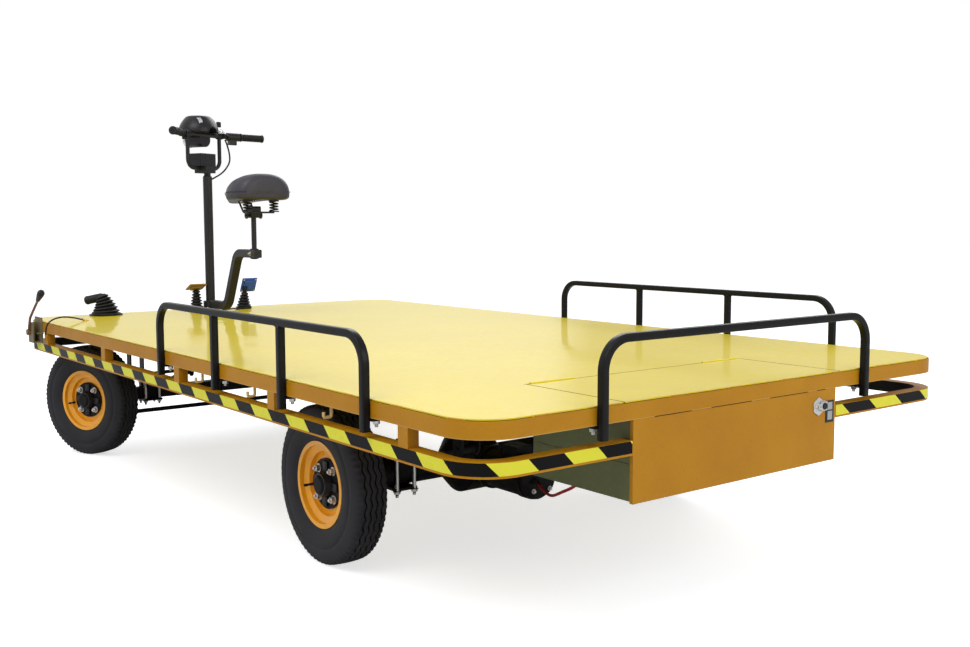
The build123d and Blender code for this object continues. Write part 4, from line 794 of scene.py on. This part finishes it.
def make_accelerator():
    boot, pad, rivets = Parts(), Parts(), Parts()
    x, y = PEDAL_X - 0.045, -0.052
    top = add_bellows(boot, x, y, 0.036, 5, 0.014, 0.004, 4, 180)
    boot.lathe([(0.010, -0.004), (0.010, 0.026), (0.008, 0.028)], top, 16)
    obj = boot.make("accelerator_boot", "black_rubber", angle=50)
    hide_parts("accelerator_pedal")
    spot = at(x - 0.016, y - 0.020, DECK_TOP + 0.113) @ turned(62, "Y")
    pad.slab(spot @ at(0, 0, 0.001), (0.074, 0.076, 0.006), 0.0022)
    pad.slab(spot @ at(0, 0, -0.0048), (0.050, 0.052, 0.006), 0.0015)
    pad.make("accelerator_pad", "black_rubber", angle=25, mat=PAD_BLUE)
    out = spot.to_3x3() @ UP
    for sx, sy in ((1, 1), (1, -1), (-1, 1), (-1, -1)):
        rivets.bolt(aim(spot @ Vector((sx * 0.029, sy * 0.030, -0.002)), -out), 0.006, 0.003, 0.001)
        head = aim(spot @ Vector((sx * 0.029, sy * 0.030, 0.004)), out)
        rivets.lathe([(0.0036, 0), (0.0036, 0.0012), (0.0024, 0.0018)], head, 14)
    rivets.make("accelerator_rivets", "zinc")


# Handlebar: ribbed grips, bell, thumb lever, key and lamp
def bar_spot(side, back):
    """Matrix across the swept part of the bar, this far in from its end, Z outwards."""
    end = Vector((-0.080, side * 0.298, 1.387))
    inner = Vector((0.016, side * 0.095, 1.391))
    outwards = (end - inner).normalized()
    return BAR_TURN @ aim(end - outwards * back, outwards)


def make_grips():
    for side, word in ((1, "left"), (-1, "right")):
        grip = Parts()
        rows = [(0.0118, 0.0), (0.0190, 0.0), (0.0196, 0.0015), (0.0196, 0.004), (0.0188, 0.0055),
                (0.0166, 0.007)]
        h = 0.010
        while h < 0.104:
            rows += [(0.0158, h), (0.0168, h + 0.0009), (0.0168, h + 0.0024), (0.0158, h + 0.0033)]
            h += 0.0042
        rows += [(0.0182, 0.110), (0.0185, 0.112), (0.0185, 0.1145), (0.0165, 0.1168), (0.006, 0.117),
                 (0.005, 0.1155)]
        grip.lathe(rows, bar_spot(side, 0.112), 40)
        obj = grip.make("ribbed_grip_" + word, "black_rubber", "steering")
        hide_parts("grip_" + word)


def make_bell():
    bell, band = Parts(), Parts()
    top = Matrix.Translation(on_column((0.007, -0.114, 1.391)))
    dome = [(0.0035, 0.008), (0.0035, 0.017), (0.009, 0.0175)]
    for k in range(9):
        a = math.pi / 2 * k / 8
        dome.append((0.0140 * math.cos(a) + 0.0005, 0.020 + 0.0125 * math.sin(a)))
    bell.lathe(dome, top, 28)
    bell.lathe([(0.0148, 0.0176), (0.0156, 0.0185), (0.0148, 0.0202)], top, 28)
    bell.make("bell", "zinc", "steering", mat=CHROME)
    rows = [(0.0122, -0.006), (0.0132, -0.005), (0.0132, 0.005), (0.0122, 0.006)]
    band.lathe(rows, bar_spot(-1, 0.2035), 28)
    band.make("bell_band", "chassis_black", "steering")


def make_thumb_lever():
    lever = Parts()
    spot = bar_spot(-1, 0.165) @ at(-0.022, 0, -0.012) @ turned(200, "X")
    lever.lathe([(0.004, 0.002), (0.0045, 0.020), (0.003, 0.034), (0.0008, 0.036)], spot, 14)
    lever.make("thumb_lever", "black_plastic", "steering")


def make_key():
    key, head = Parts(), Parts()
    face = aim(on_column((0.040, -0.088, 1.447)), Matrix.Rotation(STEER, 3, "Z") @ Vector((-0.25, -1, 0.02)))
    key.lathe([(0.0105, -0.004), (0.0105, 0.0045), (0.0085, 0.006), (0.0035, 0.0062)], face, 24)
    key.slab(face @ at(0, 0, 0.014), (0.0022, 0.008, 0.018), 0.0005)
    key.make("key_and_lock", "zinc", "steering", mat=CHROME)
    head.slab(face @ at(0, 0, 0.034), (0.0065, 0.026, 0.024), 0.0025)
    head.make("key_head", "black_plastic", "steering")


# The lamp and instrument housing's dome as (distance from its middle, height)
DOME = ((0.0, 1.478), (0.0382, 1.478), (0.050, 1.4745), (0.0637, 1.466), (0.075, 1.454), (0.086, 1.432),
        (0.091, 1.404))
DOME_X = 0.046
LENS_R = 0.0318


def dome_height(x, y):
    """Height of the housing's top at a place from the column."""
    r = math.hypot(x - DOME_X, y)
    for (r0, z0), (r1, z1) in zip(DOME, DOME[1:]):
        if r <= r1:
            return z0 + (z1 - z0) * (r - r0) / (r1 - r0)
    return DOME[-1][1]


def make_lamp():
    bezel, lens = Parts(), Parts()
    front = BAR_TURN @ aim((0.108, 0, 1.370), (1, 0, 0))
    bezel.lathe([(0.0352, -0.010), (0.0372, -0.008), (0.0378, 0.000), (0.0366, 0.0045), (0.0335, 0.0055),
                 (0.0315, 0.0035)], front, 48)
    bezel.make("lamp_bezel", "zinc", "steering", mat=CHROME)
    rows = []
    for k in range(12):
        r = LENS_R * (1 - k / 12)
        rows.append((r, 0.0036 + 0.0052 * (1 - (r / LENS_R) ** 2)))
    lens.lathe(rows, front, 48)
    lens.make("lamp_lens", "zinc", "steering", mat=LENS)


def make_pod_strips():
    """Bright wedge strips on the housing's crown, in chrome, as painted highlights."""
    strips = Parts()
    for side in (1, -1):
        rings = []
        for i in range(7):
            t = i / 6
            x, y = -0.020 + 0.046 * t, side * (0.052 - 0.012 * t)
            w = 0.0085 - 0.002 * t
            ring = []
            for dy, dz in ((-w, 0.0008), (w, 0.0008), (w, -0.002), (-w, -0.002)):
                ring.append(on_column((x, y + dy, dome_height(x, y + dy) + dz)))
            rings.append(ring)
        strips.loft(rings)
    strips.make("pod_highlight_strips", "zinc", "steering", 40, CHROME)


# Guard rails of square tube with bolted feet
GUARD_SIZE = 0.020
GUARD_BEND = 0.072
GUARD_TOP = 0.737
GUARD_FOOT = 0.500


def guard_path(first, last, put):
    """Points of a hoop: up a leg, round a bend, across, and down again."""
    top = GUARD_TOP - GUARD_SIZE / 2
    way = math.copysign(GUARD_BEND, last - first)
    bend = [(0.0, GUARD_FOOT), (0.0, top - GUARD_BEND - 0.002)]
    for k in range(13):
        a = math.radians(90 * k / 12)
        bend.append((way * (1 - math.cos(a)), top - GUARD_BEND * (1 - math.sin(a))))
    return [put(first + d, z) for d, z in bend] + [put(last - d, z) for d, z in bend[::-1]]


def make_guard(name, legs, put, inward, forward):
    guard, feet = Parts(), Parts()
    guard.bar(guard_path(legs[0], legs[-1], put), inward, GUARD_SIZE)
    under = GUARD_TOP - GUARD_SIZE
    for value in legs[1:-1]:
        guard.bar([put(value, z) for z in (GUARD_FOOT, 0.6, under + 0.001)], inward, GUARD_SIZE)
        for face in (0.009, -0.009):
            weld = [put(value + d, under) + inward * face for d in (-0.011, -0.006, 0.0, 0.006, 0.011)]
            guard.strand(weld, 0.0022)
    turn = Matrix((Vector(forward), inward, UP)).transposed().to_4x4()
    for value in legs:
        place = put(value, 0.5285) + inward * 0.032
        guard.slab(Matrix.Translation(place) @ turn, (0.034, 0.046, 0.007), 0.0012)
        feet.bolt(aim(place - UP * 0.0035, -UP), 0.015, 0.010, 0.007)
    obj = guard.make("tube_" + name, "guard_black", angle=40)
    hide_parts(name)
    feet.make("foot_nuts_" + name, "zinc")


def even(first, last, count):
    return [first + (last - first) * k / (count - 1) for k in range(count)]


def make_guards():
    y = DECK_Y + GUARD_SIZE / 2 + 0.0006
    x = -DECK_X - GUARD_SIZE / 2 - 0.0006
    legs = even(0.048, -1.192, 4)
    make_guard("guard_left", legs, lambda v, z: Vector((v, y, z)), Vector((0, -1, 0)), (1, 0, 0))
    legs = even(0.135, -1.194, 4)
    make_guard("guard_right", legs, lambda v, z: Vector((v, -y, z)), Vector((0, 1, 0)), (-1, 0, 0))
    legs = [0.548, -0.460]
    make_guard("guard_rear", legs, lambda v, z: Vector((x, v, z)), Vector((1, 0, 0)), (0, 1, 0))


# Rear panel, lock and bare plate
LOCK_Y, LOCK_Z = -0.283, 0.489
PLATE_Y = -0.3155


def make_panel():
    panel, joint = Parts(), Parts()
    x, y0, y1, z0, z1 = -DECK_X, BOX_RIGHT - 0.003, BOX_LEFT + 0.003, 0.334, 0.5328
    y, z, width, height = (y0 + y1) / 2, (z0 + z1) / 2, y1 - y0, z1 - z0
    panel.slab(at(x + 0.0015, y, z), (0.003, width, height), 0.0009)
    for edge in (y0 + 0.0013, y1 - 0.0013):
        panel.slab(at(x + 0.006, edge, z), (0.010, 0.0024, height), 0.0006)
    panel.slab(at(x + 0.006, y, z0 + 0.0016), (0.010, width, 0.003), 0.0006)
    obj = panel.make("panel_plate", "frame_gold", angle=25)
    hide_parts("rear_panel")
    # The joint below the edge channel is open between its welds; dark strips in the openings are painted
    # shade
    for a, b in ((0.370, 0.243), (0.170, 0.016), (-0.058, -0.219), (-0.258, -0.295)):
        joint.slab(at(x - 0.0001, (a + b) / 2, 0.5330), (0.0012, a - b, 0.0016), 0.0003)
    joint.make("panel_joint_shade", "chassis_black", angle=25, mat=PAINTED_SHADE)


def make_lock():
    lock, barrel = Parts(), Parts()
    lock.slab(at(-DECK_X - 0.0055, LOCK_Y, LOCK_Z), (0.006, 0.026, 0.026), 0.0015)
    for y, dz in ((-0.2515, 0.0), (-0.2862, 0.010), (-0.2862, -0.010)):
        lock.bolt(aim((-DECK_X - 0.0028, y, LOCK_Z + dz), REARWARD), 0.006, 0.0032, 0.0008)
    lock.make("lock_case", "zinc", angle=25)
    face = aim((-DECK_X - 0.0085, LOCK_Y, LOCK_Z), REARWARD)
    barrel.lathe([(0.0095, 0), (0.0095, 0.0016), (0.0085, 0.0026), (0.003, 0.0028)], face, 28)
    barrel.slab(face @ at(0, 0, 0.0028), (0.0022, 0.0085, 0.0008), 0.0002)
    barrel.make("lock_barrel", "black_plastic", angle=25)


def make_bare_plate():
    plate, field = Parts(), Parts()
    plate.slab(at(-DECK_X - 0.0009, PLATE_Y, 0.471), (0.0018, 0.036, 0.060), 0.0004)
    plate.make("bare_plate_edge", "black_plastic", angle=25)
    for z, h in ((0.4860, 0.021), (0.4600, 0.024)):
        field.slab(at(-DECK_X - 0.0021, PLATE_Y, z), (0.0008, 0.021, h), 0.0002)
    field.make("bare_plate_field", "steel", angle=25)


# Open seams between the deck's plates and its edge channel, with short welds; dark lines in the seams are
# painted shade
SEAM_STEP, SEAM_INSET = 0.212, 0.0050


def make_seams():
    seam, weld = Parts(), Parts()
    count = int(OUTLINE / SEAM_STEP)
    for k in range(count):
        start = k * OUTLINE / count
        dark, bead = [], []
        for i in range(13):
            s = start + 0.044 + (SEAM_STEP - 0.05) * i / 12
            dark.append(outline_point(s, SEAM_INSET - 0.0005)[0] + UP * (RIM_TOP + 0.0002))
        for i in range(15):
            wave = 0.0004 * math.sin(i * 2.6)
            p = outline_point(start + 0.040 * i / 14, SEAM_INSET - 0.0012)[0]
            bead.append(p + UP * (RIM_TOP + 0.0006 + wave))
        seam.strand(dark, 0.0007, 6)
        weld.strand(bead, 0.0021)
    # Dark strips in the hatch's seams, painted shade
    seam.slab(at(HATCH_FRONT - 0.0022, 0.064, 0.5760), (0.0030, 0.82, 0.0022), 0.0003)
    for y in (BOX_LEFT + 0.028, BOX_RIGHT - 0.026):
        size = (DECK_X + HATCH_FRONT - 0.012, 0.0036, 0.0023)
        seam.slab(at((HATCH_FRONT - DECK_X) / 2, y, 0.5760), size, 0.0003)
    seam.make("plate_seam_shade", "chassis_black", angle=40, mat=PAINTED_SHADE)
    weld.make("rim_welds", "frame_gold", angle=60)
    crease = Parts()
    crease.slab(at(-1.42, BOX_LEFT + 0.0006, 0.425), (0.33, 0.0016, 0.0030), 0.0005)
    crease.make("box_crease", "box_olive", angle=25)


def make_shade_liner():
    """Black strip in black rubber behind the bumper's upper flange, painted shade for the shadow and dark
    underside seen behind it, open behind the rear panel.
    """
    verts, faces = [], []
    count = 480
    high, low = BUMPER_TOP - 0.001, BUMPER_LOW + 0.001
    for k in range(count):
        for inset, z in ((0.0384, high), (0.0400, high), (0.0400, low), (0.0384, low)):
            verts.append(outline_point(OUTLINE * k / count, inset)[0] + UP * z)
    skin = ring_faces(count, 4, loop=True)
    for k in range(count):
        p = outline_point(OUTLINE * k / count, 0.039)[0]
        q = outline_point(OUTLINE * (k + 1) / count, 0.039)[0]
        if min(p.x, q.x) >= -DECK_X + 0.2 or not BOX_RIGHT - 0.01 < p.y < BOX_LEFT + 0.01:
            faces += skin[4 * k:4 * k + 4]
    shade_strip = Parts()
    shade_strip.add(verts, faces)
    shade_strip.make("bumper_shade_liner", "black_rubber", angle=60)


# Cords
BAR_TOP = 1.391
COLUMN_CABLE = ((0.001, -0.128, -0.015), (-0.004, -0.136, -0.040), (-0.012, -0.141, -0.080),
                (-0.020, -0.132, -0.118), (-0.026, -0.100, -0.152), (-0.026, -0.060, -0.180),
                (-0.0165, -0.006, -0.207))


def smooth_line(points, per=10):
    """Catmull-Rom points through a list."""
    p = [Vector(q) for q in points]
    p = [p[0] * 2 - p[1]] + p + [p[-1] * 2 - p[-2]]
    out = []
    for a, b, c, d in zip(p, p[1:], p[2:], p[3:]):
        for k in range(per):
            t = k / per
            bend = (2 * a - 5 * b + 4 * c - d) * t * t + (3 * b - a - 3 * c + d) * t ** 3
            out.append(0.5 * (2 * b + (c - a) * t + bend))
    return out + [p[-2]]


def make_cord(name, path, radius, slot="black_rubber", body="chassis", steps=12):
    cord = Parts()
    cord.strand(smooth_line(path), radius, steps)
    return cord.make(name, slot, body, 60)


def make_battery_lead():
    path = [(-0.952, 0.188, 0.236), (-0.975, 0.192, 0.228), (-1.020, 0.210, 0.219), (-1.100, 0.250, 0.226),
            (-1.225, 0.322, 0.272), (-1.330, 0.376, 0.316), (-1.352, 0.385, 0.340)]
    obj = make_cord("red_lead", path, 0.0042, "red_cable")
    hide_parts("battery_lead")
    boots = Parts()
    motor_end = aim((-0.960, 0.189, 0.2335), (-1, 0.15, -0.35))
    box_end = aim((-1.352, 0.385, 0.3375), (0.3, -0.1, -1))
    boots.lathe([(0.009, -0.002), (0.009, 0.014), (0.006, 0.024), (0.0052, 0.034)], motor_end, 18)
    boots.lathe([(0.012, -0.001), (0.012, 0.004), (0.007, 0.009), (0.0052, 0.018)], box_end, 18)
    boots.make("lead_boots", "black_rubber")


def make_lever_cable():
    path = [(1.232, 0.926, 0.534), (1.228, 0.926, 0.552), (1.224, 0.920, 0.576), (1.228, 0.899, 0.593),
            (1.236, 0.868, 0.6005), (1.250, 0.838, 0.6000), (1.263, 0.805, 0.5945), (1.272, 0.776, 0.587),
            (1.280, 0.753, 0.5795), (1.2815, 0.748, 0.565)]
    obj = make_cord("brake_cable", path, 0.0032)
    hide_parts("lever_cable")
    brass = Parts()
    brass.lathe([(0.0085, 0), (0.0085, 0.003), (0.0062, 0.0042), (0.0056, 0.014), (0.0044, 0.0165)],
                aim((1.2805, 0.7505, DECK_TOP), (-0.25, 0.75, 0.6)), 20)
    brass.bolt(aim((1.281, 0.748, DECK_TOP), UP), 0.016, 0.0045, 0.0)
    brass.make("cable_fitting", "zinc", mat=MATS["brass"])


def make_control_cables():
    path = [on_column((x, y, BAR_TOP + dz)) for x, y, dz in COLUMN_CABLE]
    obj = make_cord("control_cable", path, 0.0038, body="steering")
    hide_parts("column_cable")
    path = [(1.385, 0.092, 0.5805), (1.389, 0.070, 0.5835), (1.395, 0.046, 0.5840), (1.403, 0.022, 0.5835),
            (1.412, -0.002, 0.5800), (1.418, -0.016, 0.5775)]
    make_cord("pedal_cable", path, 0.0034, steps=10)


# Padded saddle: rows of (place along, half width, drop of the top, lift of the underside)
SADDLE = Vector((1.030, 0.095, 0.0))
SADDLE_LOW, SADDLE_TOP = 1.080, 1.190
SADDLE_COUNT = 56
SADDLE_CAP = 0.0022
SADDLE_ROWS = [
    (-0.1370, 0.070, 0.020, 0.010), (-0.1320, 0.098, 0.009, 0.004), (-0.1180, 0.115, 0.003, 0.001),
    (-0.095, 0.127, 0.000, 0.0), (-0.060, 0.133, 0.001, 0.0), (-0.020, 0.132, 0.008, 0.0),
    (0.020, 0.120, 0.020, 0.0), (0.060, 0.099, 0.040, -0.002), (0.095, 0.077, 0.060, -0.005),
    (0.122, 0.060, 0.076, -0.009), (0.140, 0.050, 0.087, -0.012), (0.1530, 0.040, 0.096, -0.012),
]


def saddle_ring(x, half, drop, lift):
    """One cross-section: a crowned top, a full side and a tucked underside."""
    low = SADDLE_LOW + lift
    rise = SADDLE_TOP - drop - low
    ring = []
    for c, t in circle(1.0, SADDLE_COUNT):
        if t >= 0:
            y = math.copysign(abs(c) ** 0.80, c)
            z = 0.20 + 0.80 * t ** 0.86
        else:
            y = math.copysign(abs(c) ** 0.30, c) * (1 - 0.07 * abs(t))
            z = 0.20 * (1 - abs(t) ** 0.45)
        ring.append(Vector((x, half * y, low + rise * z)) + SADDLE)
    return ring


def make_saddle():
    rows = []
    for a, b in zip(SADDLE_ROWS, SADDLE_ROWS[1:]):
        for k in range(3):
            rows.append([p + (q - p) * k / 3 for p, q in zip(a, b)])
    rings = [saddle_ring(*row) for row in rows + [SADDLE_ROWS[-1]]]
    n = SADDLE_COUNT
    verts = [v for ring in rings for v in ring]
    faces = ring_faces(len(rings), n)[:-2]
    for ring, base in ((rings[0], 0), (rings[-1], (len(rings) - 1) * n)):
        faces += [(base + k, base + (k + 1) % n, len(verts)) for k in range(n)]
        verts.append(sum(ring, Vector()) / n)
    pad = add_mesh("saddle_pad", verts, faces, MATS["seat_vinyl"])
    swell(pad)
    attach(pad, "chassis")
    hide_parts("saddle")


def swell(obj):
    """Remeshes the pad, lets cloth pressure fill it, and keeps each point within a cap."""
    bpy.context.view_layer.objects.active = obj
    obj.select_set(True)
    remesh = obj.modifiers.new("remesh", "REMESH")
    remesh.mode = "VOXEL"
    remesh.voxel_size = 0.0055
    bpy.ops.object.modifier_apply(modifier="remesh")
    start = [v.co.copy() for v in obj.data.vertices]
    cloth = obj.modifiers.new("cloth", "CLOTH")
    cloth.settings.use_pressure = True
    cloth.settings.uniform_pressure_force = 4.0
    cloth.settings.effector_weights.gravity = 0.0
    cloth.settings.tension_stiffness = 20
    cloth.settings.bending_stiffness = 2
    scene = bpy.context.scene
    for f in range(1, 16):
        scene.frame_set(f)
    bpy.ops.object.modifier_apply(modifier="cloth")
    scene.frame_set(1)
    # The underside stays where it was
    for v, p in zip(obj.data.vertices, start):
        move = v.co - p
        if move.length > SADDLE_CAP:
            v.co = p + move.normalized() * SADDLE_CAP
        under = (p.z - SADDLE_LOW) / 0.02
        if under < 1:
            v.co = p.lerp(v.co, max(0.0, under))
    smooth = obj.modifiers.new("smooth", "SMOOTH")
    smooth.factor = 0.5
    smooth.iterations = 3
    bpy.ops.object.modifier_apply(modifier="smooth")
    sub = obj.modifiers.new("sub", "SUBSURF")
    sub.levels = sub.render_levels = 1
    bpy.ops.object.modifier_apply(modifier="sub")
    for p in obj.data.polygons:
        p.use_smooth = True
    obj.select_set(False)


def make_saddle_trim():
    """Piping along the joint of top and side panels, and the pan's screws."""
    piping, pan = Parts(), Parts()
    for mark in (1, SADDLE_COUNT // 2 - 1):
        line = [saddle_ring(*row)[mark] for row in SADDLE_ROWS[1:]]
        line = [p + Vector((0, math.copysign(0.0012, p.y - SADDLE.y), 0.0005)) for p in line]
        piping.strand(smooth_line(line, 5), 0.0016)
    piping.make("saddle_piping", "seat_vinyl", angle=60)
    for dx, dy in ((-0.071, 0.062), (0.035, 0.024), (0.075, 0.024)):
        for side in (-1, 1):
            spot = SADDLE + Vector((dx, side * dy, SADDLE_LOW + 0.0005))
            pan.bolt(aim(spot, -UP), 0.009, 0.005, 0.003)
    pan.make("saddle_bolts", "zinc")


# Nuts on the springs' U-bolts, the motor's end, the column's foot and the seat's arm
def make_spring_nuts():
    nuts = Parts()
    for x, half in ((KINGPIN_X, 0.025), (REAR_X, 0.040)):
        for side in (1, -1):
            for dx in (-half - 0.005, half + 0.005):
                for dy in (-0.031, 0.031):
                    foot = Vector((x + dx, side * SPRING_Y + dy, WHEEL_Z - half - 0.008))
                    nuts.bolt(aim(foot, -UP), 0.017, 0.009, 0.010)
                    nuts.strand([foot + UP * h for h in (0.001, 0.04, 0.08, 2 * half + 0.03)], 0.0064, 12)
    nuts.make("spring_nuts", "zinc")


def make_bolts():
    motor, base, arm = Parts(), Parts(), Parts()
    for dy, dz in circle(0.044, 4, 45):
        motor.bolt(aim((-0.9602, 0.165 + dy, WHEEL_Z + dz), REARWARD), 0.010, 0.007, 0.002)
    motor.make("motor_bolts", "zinc")
    for dx, dy in circle(0.0375, 4, 45):
        base.bolt(aim(COLUMN + Vector((dx, dy, DECK_TOP + 0.008)), UP), 0.008, 0.005, 0.002)
    base.make("column_base_bolts", "zinc")
    arm.bolt(aim(SADDLE + Vector((0, 0.0185, 0.850)), (0, 1, 0)), 0.013, 0.008, 0.004)
    arm.bolt(aim(SADDLE + Vector((-0.0185, 0, 0.850)), REARWARD), 0.013, 0.008, 0.003)
    arm.make("seat_arm_bolts", "steel")


paint_solids()
make_wheels()
make_gaiter()
make_brake_pedal()
make_accelerator()
make_grips()
make_bell()
make_thumb_lever()
make_key()
make_lamp()
make_pod_strips()
make_guards()
make_panel()
make_lock()
make_bare_plate()
make_seams()
make_shade_liner()
make_battery_lead()
make_lever_cable()
make_control_cables()
make_saddle()
make_saddle_trim()
make_spring_nuts()
make_bolts()
make_tape()
make_stage()
make_camera()
